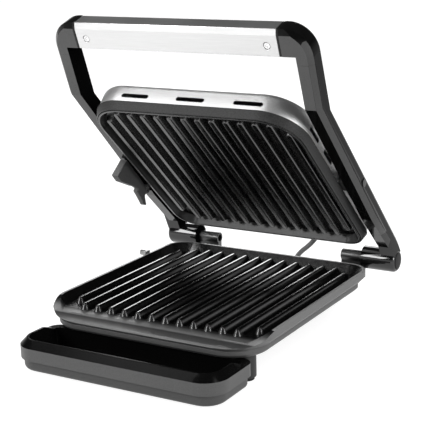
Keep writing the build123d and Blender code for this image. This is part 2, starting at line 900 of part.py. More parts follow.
with BuildPart() as handle_collars:
    with BuildSketch(grip_side.offset(bar_half_length)):
        with BuildLine():
            Polyline(*bar_outline, close=True)
        make_face()
        add(inner_bar_sketch(0), mode=Mode.SUBTRACT)
    extrude(amount=collar)
    mirror(about=Plane.YZ)
keep(handle_collars, "handle_collars")

with BuildPart() as handle_screws:
    with BuildSketch(grip_face.offset(screw_recess)):
        with Locations((-handle_screw_x, -handle_screw_place), (handle_screw_x, -handle_screw_place)):
            Circle(screw_head_radius - core_clearance)
    extrude(amount=bar_wall + core_clearance - screw_recess)
    with BuildSketch(grip_face.offset(screw_recess)):
        with Locations((-handle_screw_x, -handle_screw_place), (handle_screw_x, -handle_screw_place)):
            Circle(screw_radius)
    extrude(amount=screw_length - screw_recess)
keep(handle_screws, "handle_screws")

# Lid pivots: pins fixed in the arms, flanged bushes in the lid cover, caps on the arms' outer faces
with BuildPart() as pivot_pin_right:
    with BuildSketch(lid_side.offset(pivot_pin_inner_x)):
        with Locations((pivot_u, pivot_v)):
            Circle(pivot_pin_radius)
    extrude(amount=pivot_pin_outer_x - pivot_pin_inner_x)
keep(pivot_pin_right, "pivot_pin_right")

with BuildPart() as pivot_pin_left:
    mirror(pivot_pin_right.part, about=Plane.YZ)
keep(pivot_pin_left, "pivot_pin_left")

with BuildPart() as pivot_caps:
    with BuildSketch(lid_side.offset(arm_outer_x)):
        with Locations((pivot_u, pivot_v)):
            Circle(cap_radius)
    extrude(amount=cap_height)
    fillet(pivot_caps.faces().sort_by(Axis.X)[-1].edges(), cap_height / 2)
    mirror(about=Plane.YZ)
keep(pivot_caps, "pivot_caps")

with BuildPart() as pivot_bushes:
    with BuildSketch(lid_side.offset(cover_half_width - cover_sheet - bush_nut)):
        with Locations((pivot_u, pivot_v)):
            Circle(bush_radius)
    extrude(amount=arm_inner_x - side_gap - cover_half_width + cover_sheet + bush_nut)
    with BuildSketch(lid_side.offset(cover_half_width)):
        with Locations((pivot_u, pivot_v)):
            RectangleRounded(bush_block_length, bush_block_height, bush_block_radius)
    extrude(amount=bush_block)
    with BuildSketch(lid_side.offset(cover_half_width - cover_sheet - bush_nut)):
        with Locations((pivot_u, pivot_v)):
            RegularPolygon(bush_nut_radius, 6)
    extrude(amount=bush_nut)
    with BuildSketch(lid_side.offset(arm_inner_x)):
        with Locations((pivot_u, pivot_v)):
            Circle(pivot_pin_radius + running_clearance)
    extrude(amount=-arm_inner_x + pivot_pin_inner_x, mode=Mode.SUBTRACT)
    mirror(about=Plane.YZ)
keep(pivot_bushes, "pivot_bushes")

# Lid bezel: a flared band round the upper plate
with BuildPart() as lid_bezel:
    with BuildSketch(lid_face.offset(band_bottom_v)):
        add(lid_plan)
    extrude(amount=band_height, taper=-flare_taper)
    with BuildSketch(lid_face.offset(band_bottom_v)):
        add(lid_plan)
        offset(amount=plate_gap - plate_inset, kind=Kind.ARC, mode=Mode.REPLACE)
    extrude(amount=band_height, mode=Mode.SUBTRACT)
keep(lid_bezel, "lid_bezel")

# Upper grill plate: a pan turned over, its ribs hanging from its floor
with BuildPart() as upper_plate:
    with BuildSketch(lid_face.offset(plate_rim_v)):
        add(lid_plan)
        offset(amount=-plate_inset, kind=Kind.ARC, mode=Mode.REPLACE)
    extrude(amount=plate_depth)
    with BuildSketch(lid_face.offset(plate_rim_v)):
        add(lid_plan)
        offset(amount=-plate_inset - plate_wall, kind=Kind.ARC, mode=Mode.REPLACE)
    extrude(amount=upper_floor_v - plate_rim_v, taper=plate_wall_slope, mode=Mode.SUBTRACT)
    with BuildSketch(lid_face.offset(upper_floor_v)):
        with Locations((0, lid_middle_u)):
            with GridLocations(rib_pitch, 0, rib_count - 2, 1):
                SlotOverall(upper_rib_length, rib_foot_width, rotation=90)
            with GridLocations(rib_pitch * (rib_count - 1), 0, 2, 1):
                SlotOverall(upper_short_rib_length, rib_foot_width, rotation=90)
    extrude(amount=upper_floor_v - upper_rib_v, dir=-lid_face.z_dir, taper=rib_taper)
keep(upper_plate, "upper_grill_plate")

# Lid cover: a drawn sheet with vent slots, holes for the pivots and lamps, and a slot for the lead
lid_front = Plane(
    origin=hinge_point,
    x_dir=(1, 0, 0),
    z_dir=(0, -cos(radians(open_angle)), sin(radians(open_angle))),
)
with BuildPart() as lid_cover:
    with BuildSketch(lid_face.offset(band_top_v)):
        add(lid_plan)
        offset(amount=band_flare - cover_inset, kind=Kind.ARC, mode=Mode.REPLACE)
    extrude(amount=cover_height)
    lid_up = Axis(hinge_point, lid_face.z_dir)
    fillet(lid_cover.faces().sort_by(lid_up)[-1].edges(), cover_edge_radius)
    offset(amount=-cover_sheet, openings=lid_cover.faces().sort_by(lid_up)[0])
    with BuildSketch(lid_front.offset(-lid_front_u - cut_margin)):
        with Locations((front_slot_shift, slot_middle_v)):
            with GridLocations(front_slot_pitch, 0, 3, 1):
                SlotOverall(front_slot_length, slot_height)
    extrude(amount=2 * cut_margin, mode=Mode.SUBTRACT)
    with BuildSketch(lid_side):
        with Locations((lid_middle_u, slot_middle_v)):
            with GridLocations(2 * side_slot_near, 0, 2, 1):
                SlotOverall(side_slot_length, slot_height)
            with GridLocations(2 * side_slot_far, 0, 2, 1):
                SlotOverall(side_slot_length, slot_height)
        with Locations((pivot_u, pivot_v)):
            Circle(bush_radius)
    extrude(amount=cover_half_width + cut_margin, both=True, mode=Mode.SUBTRACT)
    with BuildSketch(lid_front.offset(-lid_back_u - cut_margin)):
        with Locations((lid_lead_x, (lead_slot_low_v + lead_slot_high_v) / 2)):
            SlotOverall(lead_slot_high_v - lead_slot_low_v, lead_slot_width, rotation=90)
    extrude(amount=2 * cut_margin, mode=Mode.SUBTRACT)
    with BuildSketch(lid_face.offset(cover_top_v - cut_margin / 2)):
        with Locations((0, lamp_u)):
            with GridLocations(lamp_pitch, 0, 2, 1):
                Circle(lamp_radius)
    extrude(amount=cut_margin, mode=Mode.SUBTRACT)
keep(lid_cover, "lid_cover")

with BuildPart() as indicator_lamps:
    with BuildSketch(lid_face.offset(cover_top_v - lamp_body)):
        with Locations((0, lamp_u)):
            with GridLocations(lamp_pitch, 0, 2, 1):
                Circle(lamp_radius)
    extrude(amount=lamp_body + lamp_dome)
    fillet(indicator_lamps.faces().sort_by(lid_up)[-2:].edges(), lamp_dome * 0.8)
keep(indicator_lamps, "indicator_lamps")


def lid_place(back, up):
    return lid_side.from_local_coords((back, up, 0))


# Heating and switching in the lid
element_tube(face_plane(lid_place(lid_middle_u, plate_top_v + element_radius), open_angle), "upper_heating_element")
reflector_v = plate_top_v + 2 * element_radius + reflector_gap
reflector_sheet_part(face_plane(lid_place(lid_middle_u, reflector_v), open_angle), "upper_reflector")
thermostat(face_plane(lid_place(lid_middle_u, plate_top_v), open_angle), "lid_thermostat")
thermal_fuse(
    Plane(
        origin=lid_side.from_local_coords((lid_middle_u, plate_top_v + fuse_radius, element_gap)),
        x_dir=(1, 0, 0),
        z_dir=lid_side.x_dir,
    ),
    "lid_thermal_fuse",
)
plate_studs(face_plane(lid_place(lid_middle_u, plate_top_v), open_angle), reflector_v - plate_top_v, "upper_plate_studs")


def turned_hook(back, up):
    turn = -radians(lock_turn)
    u = lever_pivot_u + back * cos(turn) - up * sin(turn)
    v = lever_pivot_v + back * sin(turn) + up * cos(turn)
    return (u, v)


# Lock lever: a thumb paddle in front of its boss and a hook behind it that swings under the catch
hook_top = catch_v - catch_radius - hook_gap - lever_pivot_v
hook_end = catch_u + hook_past - lever_pivot_u
paddle_back_u = lever_pivot_u - paddle_start
arm_slope = (arm_bend_v - arm_knee_v) / (arm_bend_u - arm_knee_u)


def under_arm(u, gap):
    return arm_knee_v + arm_slope * (u - arm_knee_u) - gap


paddle_front_u = paddle_back_u - paddle_length
paddle_outline = [
    (lever_pivot_u, under_arm(lever_pivot_u, paddle_gap)),
    (paddle_front_u + paddle_rake, under_arm(paddle_front_u, paddle_gap)),
    (paddle_front_u, under_arm(paddle_front_u, paddle_gap) - paddle_depth),
    (paddle_front_u + paddle_tip, under_arm(paddle_front_u, paddle_gap) - paddle_depth - paddle_tip_drop),
    (paddle_back_u, under_arm(paddle_back_u, paddle_gap) - paddle_root),
    (lever_pivot_u, lever_pivot_v - lever_boss_radius),
]
hook_outline = [
    (lever_pivot_u - lever_boss_radius, lever_pivot_v),
    (lever_pivot_u - hook_heel, lever_pivot_v - lever_boss_radius),
    (lever_pivot_u - hook_heel, lever_pivot_v - hook_drop),
    (lever_pivot_u - lever_boss_radius, lever_pivot_v - hook_drop - hook_leg / 2),
    turned_hook(hook_end - hook_nose, hook_top - hook_leg),
    turned_hook(hook_end, hook_top - hook_nose),
    turned_hook(hook_end, hook_top),
    turned_hook(lever_boss_radius, hook_top),
    (lever_pivot_u + lever_boss_radius / 2, lever_pivot_v),
]
with BuildPart() as lock_lever:
    with BuildSketch(lid_side.offset(-lever_inner_x)):
        with Locations((lever_pivot_u, lever_pivot_v)):
            Circle(lever_boss_radius)
        with BuildLine():
            Polyline(*paddle_outline, close=True)
        make_face()
        with BuildLine():
            Polyline(*hook_outline, close=True)
        make_face()
    extrude(amount=-lever_thickness)
    with BuildSketch(lid_side.offset(-lever_inner_x)):
        with BuildLine():
            Polyline(*paddle_outline[1:5], close=True)
        make_face()
    extrude(amount=-paddle_thickness)
    with BuildSketch(lid_side.offset(-lever_inner_x)):
        with Locations((lever_pivot_u, lever_pivot_v)):
            Circle(lever_pin_radius + running_clearance)
    extrude(amount=-lever_thickness, mode=Mode.SUBTRACT)
keep(lock_lever, "lock_lever")

with BuildPart() as lock_pivot:
    with BuildSketch(lid_side.offset(-lever_inner_x)):
        with Locations((lever_pivot_u, lever_pivot_v)):
            Circle(lever_pin_radius)
    extrude(amount=-(lug_x + lug_thickness - lever_inner_x))
    with BuildSketch(lid_side.offset(-lug_x - lug_thickness)):
        with Locations((lever_pivot_u, lever_pivot_v)):
            Circle(screw_head_radius)
    extrude(amount=-screw_head)
keep(lock_pivot, "lock_pivot")

# Lead between base and lid, out of the belly, up behind the plates and in through the slot of the lid cover
lid_entry = lid_side.from_local_coords((lid_back_u + band_flare - cover_inset, lid_lead_v, lid_lead_x))
lid_inward = Vector(0, -cos(radians(open_angle)), sin(radians(open_angle)))
lead_points = [
    Vector(lead_exit_x, belly_back_y - lead_tail, lead_z),
    Vector(lead_exit_x, belly_back_y + lead_run, lead_z),
    Vector(lead_exit_x + lead_step / 2, hinge_y - lead_behind + lead_step, hinge_z - lead_low),
    Vector(lead_exit_x + 2 * lead_step, hinge_y - lead_behind, hinge_z - lead_drop),
    Vector(lead_mid_x, hinge_y - lead_behind, hinge_z + lead_rise),
    lid_entry - lid_inward * lead_loop,
    lid_entry + lid_inward * lead_tail,
]
lead_radii = []
for place in range(1, len(lead_points) - 1):
    run_in = lead_points[place] - lead_points[place - 1]
    run_out = lead_points[place + 1] - lead_points[place]
    half_turn = radians(run_in.get_angle(run_out)) / 2
    lead_radii.append(0.45 * min(run_in.length, run_out.length) / tan(half_turn))
print("lead bend radii", [round(r, 1) for r in lead_radii])
with BuildPart() as lid_lead:
    with BuildLine() as lead_route:
        FilletPolyline(*lead_points, radius=lead_radii)
    with BuildSketch(Plane(origin=lead_route.line @ 0, z_dir=lead_route.line % 0)):
        Circle(lead_radius)
    sweep(path=lead_route.line)
print("lead length", round(sum(edge.length for edge in lead_route.edges()), 1))
keep(lid_lead, "lid_lead")
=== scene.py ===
import bmesh
import bpy
import json
import math
from mathutils import Matrix, Vector


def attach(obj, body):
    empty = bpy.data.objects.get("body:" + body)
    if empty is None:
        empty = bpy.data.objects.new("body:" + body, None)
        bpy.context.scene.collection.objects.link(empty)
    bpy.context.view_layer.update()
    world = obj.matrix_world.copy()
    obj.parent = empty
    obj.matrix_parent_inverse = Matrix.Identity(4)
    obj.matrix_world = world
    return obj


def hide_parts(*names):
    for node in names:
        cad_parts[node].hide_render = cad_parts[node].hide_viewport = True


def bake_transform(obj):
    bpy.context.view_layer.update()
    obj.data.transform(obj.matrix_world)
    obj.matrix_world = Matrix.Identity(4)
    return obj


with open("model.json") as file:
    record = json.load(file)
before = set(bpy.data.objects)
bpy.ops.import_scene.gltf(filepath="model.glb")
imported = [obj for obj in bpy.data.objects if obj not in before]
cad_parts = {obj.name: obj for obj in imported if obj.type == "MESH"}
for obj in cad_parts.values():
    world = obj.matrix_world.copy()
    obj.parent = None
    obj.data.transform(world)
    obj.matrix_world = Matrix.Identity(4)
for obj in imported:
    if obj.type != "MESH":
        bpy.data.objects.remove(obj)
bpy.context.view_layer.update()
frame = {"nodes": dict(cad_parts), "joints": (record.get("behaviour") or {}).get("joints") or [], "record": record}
nodes = frame["nodes"]
print("frame loaded:", len(nodes), "nodes")

scene = bpy.context.scene
scene.view_settings.view_transform = "Standard"

nodeBody = {}
for body, members in frame["record"]["behaviour"]["bodies"].items():
    for member in members:
        nodeBody[member] = body

# the lid stands open, so its places are read along it (u) and across it (v), from the hinge
armHinge = next(joint for joint in frame["joints"] if joint["name"] == "arm_hinge")
hingeSpot = Vector(armHinge["pos_m"])
openAngle = math.radians(-armHinge["range_deg"][0])  # the hinge's lower limit is the shut press
lidAlong = Vector((0, math.cos(openAngle), -math.sin(openAngle)))
lidAcross = Vector((0, -lidAlong.z, lidAlong.y))


def lidPoint(x, u, v):
    return Vector((x, 0, 0)) + hingeSpot + lidAlong * u + lidAcross * v


def lidCoords(p):
    d = p - hingeSpot
    return Vector((p.x, d.dot(lidAlong), d.dot(lidAcross)))


def addNode(tree, kind, **values):
    # a value goes to the property of that name, or else to the input socket
    node = tree.nodes.new(kind)
    for key, value in values.items():
        if key in node.bl_rna.properties:
            setattr(node, key, value)
        else:
            node.inputs[key.replace("_", " ")].default_value = value
    return node


def calc(tree, operation, *parts):
    # maths node on plain numbers and sockets
    node = addNode(tree, "ShaderNodeMath", operation=operation)
    for socket, part in zip(node.inputs, parts):
        if isinstance(part, (int, float)):
            socket.default_value = part
        else:
            tree.links.new(part, socket)
    return node.outputs[0]


noiseKinds = {  # detail and roughness
    "grain": (5.0, 0.65), "fleck": (4.0, 0.65), "brushed": (4.0, 0.7), "cloud": (2.0, 0.5),
}
noiseRange = (0.3, 0.7)  # most of a noise lies between these


def startFinish(name):
    material = bpy.data.materials.new(name)
    material.use_nodes = True
    tree = material.node_tree
    tree.nodes.clear()
    shader = addNode(tree, "ShaderNodeBsdfPrincipled")
    out = addNode(tree, "ShaderNodeOutputMaterial")
    tree.links.new(shader.outputs[0], out.inputs[0])
    place = addNode(tree, "ShaderNodeTexCoord").outputs["Object"]
    return material, tree, shader, place


def noiseOn(tree, place, size, kind, stretch=None):
    # size is the width of a spot in metres; stretch scales the place along each axis
    if stretch:
        mapping = addNode(tree, "ShaderNodeMapping", Scale=stretch)
        tree.links.new(place, mapping.inputs["Vector"])
        place = mapping.outputs[0]
    detail, roughness = noiseKinds[kind]
    noise = addNode(tree, "ShaderNodeTexNoise", Scale=1.0 / size, Detail=detail, Roughness=roughness)
    tree.links.new(place, noise.inputs["Vector"])
    return noise.outputs["Fac"]


def spread(tree, value, low, high, start=noiseRange[0], end=noiseRange[1]):
    node = addNode(tree, "ShaderNodeMapRange", From_Min=start, From_Max=end, To_Min=low, To_Max=high)
    tree.links.new(value, node.inputs["Value"])
    return node.outputs["Result"]


def rampOn(tree, value, stops):
    # stops are pairs of place and colour
    ramp = addNode(tree, "ShaderNodeValToRGB")
    marks = ramp.color_ramp.elements
    while len(marks) < len(stops):
        marks.new(0.5)
    for mark, (spot, colour) in zip(marks, stops):
        mark.position = spot
        mark.color = (*colour, 1)
    tree.links.new(value, ramp.inputs["Fac"])
    return ramp.outputs["Color"]


def tint(tree, noise, dark, light):
    return rampOn(tree, noise, list(zip(noiseRange, (dark, light))))


def grey(value):
    return (value, value, value)


def shade(colour, factor):
    # a plain number is a grey
    parts = colour if isinstance(colour, tuple) else grey(colour)
    return tuple(min(1.0, part * factor) for part in parts)


def addBump(tree, shader, height, depth):
    bump = addNode(tree, "ShaderNodeBump", Strength=1.0, Distance=depth)
    tree.links.new(height, bump.inputs["Height"])
    tree.links.new(bump.outputs[0], shader.inputs["Normal"])


mouldedSkin = {"patch": 0.045, "grainShare": 0.75, "leastRoughness": 0.02, "coatRoughness": 0.05}
brushedSkin = {"patch": 0.05, "roughSpread": 0.04, "noiseRange": (0.7, 1.3)}


def mouldedFinish(name, colour, roughness, grain, depth, speckle, specular=0.5, metallic=0.0, coat=0.0,
                  roughSpread=0.12):
    # moulded, painted or coated surface: fine grain in colour, roughness and bump, with broad soft patches
    material, tree, shader, place = startFinish(name)
    fine = noiseOn(tree, place, grain, "grain")
    broad = noiseOn(tree, place, mouldedSkin["patch"], "cloud")
    share = mouldedSkin["grainShare"]
    mixed = calc(tree, "MULTIPLY_ADD", fine, share, calc(tree, "MULTIPLY", broad, 1 - share))
    colours = tint(tree, mixed, shade(colour, 1 - speckle), shade(colour, 1 + speckle))
    tree.links.new(colours, shader.inputs["Base Color"])
    smoothest = max(mouldedSkin["leastRoughness"], roughness - roughSpread)
    dullest = min(1, roughness + roughSpread)
    tree.links.new(spread(tree, mixed, smoothest, dullest), shader.inputs["Roughness"])
    addBump(tree, shader, fine, depth)
    shader.inputs["Specular IOR Level"].default_value = specular
    shader.inputs["Metallic"].default_value = metallic
    shader.inputs["Coat Weight"].default_value = coat
    shader.inputs["Coat Roughness"].default_value = mouldedSkin["coatRoughness"]
    return material


def brushedFinish(name, colour, roughness, stretch, line=0.0004, depth=0.000012, contrast=0.18):
    # brushed metal: long fine lines in one direction, with a little cloudiness
    material, tree, shader, place = startFinish(name)
    lines = noiseOn(tree, place, line, "brushed", stretch)
    cloud = noiseOn(tree, place, brushedSkin["patch"], "cloud")
    colours = tint(tree, lines, shade(colour, 1 - contrast), shade(colour, 1 + contrast))
    tree.links.new(colours, shader.inputs["Base Color"])
    smoothest = roughness - brushedSkin["roughSpread"]
    dullest = roughness + brushedSkin["roughSpread"]
    dullness = spread(tree, calc(tree, "ADD", lines, cloud), smoothest, dullest, *brushedSkin["noiseRange"])
    tree.links.new(dullness, shader.inputs["Roughness"])
    addBump(tree, shader, lines, depth)
    shader.inputs["Metallic"].default_value = 1.0
    return material


# strip in front of the lower ribs: places run from the pour lip to the ribs, stops are place and grey; the greys
# are painted reflection, light and dark bands where the slope catches light
frontSheenRun = {
    "lip": -0.124, "ribs": -0.090, "roughness": 0.5, "ribsFrom": 0.85,
    "fleck": 0.0009, "fray": 0.0012, "fleckTint": 0.2,
    "stops": [(0.0, 0.5), (0.12, 0.3), (0.45, 0.1), (0.51, 0.4), (0.7, 0.33), (0.86, 0.1)],
}


def plateFinishPaintedSheen(name, roughness, front):
    # non-stick coating; the strip before the ribs is duller, and on the run-off slope painted reflection lightens
    # towards the lip
    material, tree, shader, place = startFinish(name)
    apart = addNode(tree, "ShaderNodeSeparateXYZ")
    tree.links.new(place, apart.inputs[0])
    fleck = noiseOn(tree, place, front["fleck"], "fleck")
    # the fleck frays the borders of the painted reflection strips
    frayed = calc(tree, "MULTIPLY_ADD", fleck, front["fray"], apart.outputs["Y"])
    run = spread(tree, frayed, 0.0, 1.0, front["lip"], front["ribs"])
    # the stops' greys are painted reflection: light and dark bands on the run-off slope
    paintedSheenStrips = rampOn(tree, run, [(spot, grey(value)) for spot, value in front["stops"]])
    flecks = tint(tree, fleck, grey(1 - front["fleckTint"]), grey(1 + front["fleckTint"]))
    product = addNode(tree, "ShaderNodeMix", data_type="RGBA", blend_type="MULTIPLY")
    product.inputs[0].default_value = 1.0  # factor
    tree.links.new(paintedSheenStrips, product.inputs[6])  # colours A and B
    tree.links.new(flecks, product.inputs[7])
    tree.links.new(product.outputs[2], shader.inputs["Base Color"])
    dullness = spread(tree, run, front["roughness"], roughness, front["ribsFrom"], 1.0)
    tree.links.new(dullness, shader.inputs["Roughness"])
    shader.inputs["Metallic"].default_value = 1.0
    return material


# skins that several finishes share; lengths in metres
ribSkin = {"grain": 0.001, "depth": 0.000003, "speckle": 0.15, "metallic": 1.0}
darkSkin = {"grain": 0.001, "speckle": 0.2, "roughSpread": 0.04}
smoothSkin = {"grain": 0.0008, "depth": 0.00002, "speckle": 0.2}
grainedSkin = {"grain": 0.0008, "depth": 0.00006, "speckle": 0.25, "specular": 0.4}
traySkin = dict(grainedSkin, grain=0.0009)
blackSkin = {"grain": 0.0008, "depth": 0.00005, "speckle": 0.3, "specular": 0.4}
glossSkin = {"grain": 0.006, "depth": 0.000004, "speckle": 0.3, "roughSpread": 0.02}
paintedReflectionSkin = {"grain": 0.0009, "depth": 0.00001, "speckle": 0.15, "specular": 0.25, "roughSpread": 0.05}
fastenerSkin = {"grain": 0.0007, "metallic": 1.0}
sheetSkin = {"grain": 0.001, "depth": 0.00002, "speckle": 0.1, "metallic": 1.0}
lengthwise = (0.012, 1, 1)  # brushed from left to right

finishes = {
    # plates
    "coating": mouldedFinish("plateCoating", 0.1, 0.27, roughSpread=0.03, **ribSkin),
    # upper walls: a darker, non-metal copy of the coating, painted shade
    "upperWallShaded": mouldedFinish("upperWallShadedCoating", 0.012, 0.35, depth=0.000005, specular=0.4, **darkSkin),
    "lowerCoatingPaintedSheen": plateFinishPaintedSheen("lowerCoatingPaintedSheen", 0.24, frontSheenRun),
    "lowerRib": mouldedFinish("lowerRibCoating", 0.1, 0.2, roughSpread=0.04, **ribSkin),
    # rib ends: a darker, non-metal copy of the rib coating, painted shade on the lower ribs' ends
    "ribEndShaded": mouldedFinish("ribEndShaded", 0.012, 0.22, depth=0.000003, specular=0.6, **darkSkin),
    # the rim takes the outer band's grey, painted lighter as the highlight along the rim top
    "rim": mouldedFinish("plateRimPaintedHighlight", 0.2, 0.35, **smoothSkin),
    # the pour lip is painted lighter as the highlight on its bead
    "lip": mouldedFinish("pourLipPaintedHighlight", 0.16, 0.35, **smoothSkin),
    # housings, lid and tray
    "band": mouldedFinish("bandGrain", 0.145, 0.5, **grainedSkin),
    "housing": mouldedFinish("housingGrain", 0.1, 0.5, **grainedSkin),
    "belly": mouldedFinish("bellySheet", 0.02, 0.5, **blackSkin),
    "footPlastic": mouldedFinish("footPlastic", 0.02, 0.5, **blackSkin),
    "bezel": mouldedFinish("bezelGrain", 0.03, 0.5, grain=0.0014, depth=0.0001, speckle=0.6, specular=0.25),
    "bezelLip": mouldedFinish("bezelLip", 0.02, 0.3, grain=0.0014, depth=0.00005, speckle=0.5,
                              specular=0.45),
    "steel": brushedFinish("lidSteel", 0.77, 0.46, lengthwise, line=0.00045, depth=0.000006, contrast=0.1),
    "trayBand": mouldedFinish("trayGrain", 0.092, 0.48, **traySkin),
    "trayFoot": mouldedFinish("trayFootGrain", 0.065, 0.5, **traySkin),
    "trayInside": mouldedFinish("trayBlack", 0.003, 0.22, grain=0.0009, depth=0.00001, speckle=0.35,
                                specular=0.06),
    # arms, handle and lever
    # copies of one gloss black plastic, picked by facing: the grey grip front and bevel are painted reflection of
    # the floor; the side, elbow and inner copies turn the reflection down as painted shade
    "armGloss": mouldedFinish("armGloss", 0.005, 0.07, **glossSkin),
    "armSidePaintedShade": mouldedFinish("armSidePaintedShade", 0.004, 0.1, specular=0.04, **glossSkin),
    "armElbowPaintedShade": mouldedFinish("armElbowPaintedShade", 0.004, 0.06, specular=0.12, **glossSkin),
    "barrelGloss": mouldedFinish("barrelGloss", 0.004, 0.06, specular=0.7, **glossSkin),
    "armFrontPaintedReflection": mouldedFinish("armFrontPaintedReflection", 0.11, 0.3, **paintedReflectionSkin),
    "armBevelPaintedReflection": mouldedFinish("armBevelPaintedReflection", 0.07, 0.3, **paintedReflectionSkin),
    "armInnerPaintedShade": mouldedFinish("armInnerPaintedShade", 0.003, 0.3, grain=0.0012, depth=0.00001, speckle=0.3,
                              specular=0.0, roughSpread=0.05),
    "collarGloss": mouldedFinish("collarGloss", 0.006, 0.12, grain=0.005, depth=0.000004, speckle=0.3,
                                 specular=0.3, roughSpread=0.03),
    "aluminium": brushedFinish("handleAluminium", 0.66, 0.36, lengthwise, contrast=0.07),
    "lever": mouldedFinish("leverMatt", 0.11, 0.55, grain=0.0007, depth=0.00006, speckle=0.3,
                           specular=0.35),
    # small parts
    "rubber": mouldedFinish("softRubber", 0.014, 0.7, grain=0.0009, depth=0.00008, speckle=0.3,
                            specular=0.3),
    "leadSkin": mouldedFinish("leadSkin", 0.2, 0.35, grain=0.0006, depth=0.00002, speckle=0.2),
    "plainPlastic": mouldedFinish("blackPlastic", 0.014, 0.45, grain=0.0008, depth=0.00004, speckle=0.3),
    "terminal": mouldedFinish("terminalPlastic", (0.55, 0.52, 0.46), 0.5, grain=0.001, depth=0.00003,
                              speckle=0.08),
    "lamp": mouldedFinish("lampLens", (0.05, 0.006, 0.005), 0.15, grain=0.002, depth=0.00001, speckle=0.25,
                          coat=0.5),
    "knuckle": mouldedFinish("satinCasting", 0.1, 0.36, grain=0.0006, depth=0.00003, speckle=0.15,
                             metallic=1.0),
    "switchMetal": mouldedFinish("switchMetal", 0.55, 0.35, **dict(sheetSkin, grain=0.0008)),
    "fuseMetal": mouldedFinish("fuseMetal", 0.6, 0.3, **sheetSkin),
    "guide": mouldedFinish("guideSheet", 0.5, 0.35, **sheetSkin),
    "element": mouldedFinish("elementSheath", (0.16, 0.15, 0.14), 0.5, grain=0.001, depth=0.00005,
                             speckle=0.3, metallic=1.0),
    "reflector": mouldedFinish("reflectorSheet", 0.72, 0.25, grain=0.002, depth=0.00003, speckle=0.08,
                               metallic=1.0),
    "pin": brushedFinish("turnedPin", 0.58, 0.25, (0.02, 1, 1)),
    "handleScrew": mouldedFinish("handleScrew", 0.8, 0.3, depth=0.00001, speckle=0.08, **fastenerSkin),
    "screw": mouldedFinish("screwSteel", 0.55, 0.28, depth=0.00002, speckle=0.12, **fastenerSkin),
    "catch": mouldedFinish("catchSteel", 0.3, 0.4, depth=0.00003, speckle=0.2, **fastenerSkin),
}
print("finishes made:", len(finishes))

# which finish each CAD node carries
nodeFinish = {
    "base_housing": "housing", "base_cover": "belly", "lower_grill_plate": "lowerCoatingPaintedSheen",
    "lower_heating_element": "element", "lower_reflector": "reflector", "base_thermostat": "switchMetal",
    "base_thermal_fuse": "fuseMetal", "terminal_block": "terminal", "lower_plate_studs": "screw",
    "feet": "footPlastic", "foot_pads": "rubber", "base_screws": "screw",
    "hinge_knuckle_left": "knuckle", "hinge_knuckle_right": "knuckle", "hinge_pin_left": "pin",
    "hinge_pin_right": "pin", "lock_catch": "catch", "cord_gland": "rubber", "lead_grommet": "rubber",
    "tray_guides": "guide", "lid_lead": "leadSkin", "arm_left": "armGloss", "arm_right": "armGloss",
    "arm_left_cover": "armGloss", "arm_right_cover": "armGloss", "handle_bar": "aluminium",
    "handle_core": "plainPlastic", "handle_collars": "collarGloss", "handle_screws": "handleScrew",
    "pivot_pin_left": "pin", "pivot_pin_right": "pin", "pivot_caps": "collarGloss", "lock_pivot": "screw",
    "lid_cover": "steel", "lid_bezel": "bezel", "upper_grill_plate": "coating",
    "upper_heating_element": "element", "upper_reflector": "reflector", "lid_thermostat": "switchMetal",
    "lid_thermal_fuse": "fuseMetal", "upper_plate_studs": "screw", "pivot_bushes": "plainPlastic",
    "indicator_lamps": "lamp", "lock_lever": "lever", "drip_tray": "trayBand",
}
for name, node in nodes.items():
    node.data.materials.clear()
    node.data.materials.append(finishes[nodeFinish[name]])
print("CAD nodes dressed")


photoView = {"target": (0.03606, -0.0470, 0.14433), "distance": 1.16624, "azimuth": 30.81,
             "elevation": 14.14, "roll": -1.48, "lens": 102.92, "sensor": 36}


def placeCamera(view):
    azimuth, elevation, roll = (math.radians(view[key]) for key in ("azimuth", "elevation", "roll"))
    level = math.cos(elevation)
    back = Vector((math.sin(azimuth) * level, -math.cos(azimuth) * level, math.sin(elevation)))
    right = Vector((math.cos(azimuth), math.sin(azimuth), 0))
    up = back.cross(right)
    turnedRight = right * math.cos(roll) + up * math.sin(roll)
    turnedUp = up * math.cos(roll) - right * math.sin(roll)
    data = bpy.data.cameras.new("photoCamera")
    data.lens = view["lens"]
    data.sensor_width = view["sensor"]
    camera = bpy.data.objects.new("photoCamera", data)
    scene.collection.objects.link(camera)
    turn = Matrix((turnedRight, turnedUp, back)).transposed().to_4x4()
    camera.matrix_world = Matrix.Translation(Vector(view["target"]) + back * view["distance"]) @ turn
    scene.camera = camera


# white walls, a dim ceiling and five soft boxes; strengths in watts, lengths in metres
studio = {
    "worldDiffuse": 0.5, "ceiling": 0.06, "wallTop": 0.05, "ceilingStart": 0.4,
    "floorColour": 0.36, "floorGlow": 0.86, "floorRadius": 9.0, "floorDrop": 0.0004, "floorRoughness": 0.9,
    "paperPatch": 0.6, "paperTint": 0.01,
    "lamps": [  # name, place, aim, size, watts
        ("keyBox", (-0.72, -0.4, 1.35), (0, 0, 0.1), 0.7, 8.0),
        ("frontBox", (-0.66, -1.08, 0.72), (0.1, 0.12, 0.06), 0.45, 8.0),
        ("sideBox", (1.5, -0.25, 0.55), (0.1, 0, 0.06), 0.6, 9.0),
        ("cornerBox", (1.15, -0.25, 1.2), (0.1, 0, 0.2), 0.45, 4.0),
        ("backBox", (-0.95, 1.55, 0.62), (0, 0, 0.06), 0.55, 5.0),
    ],
}


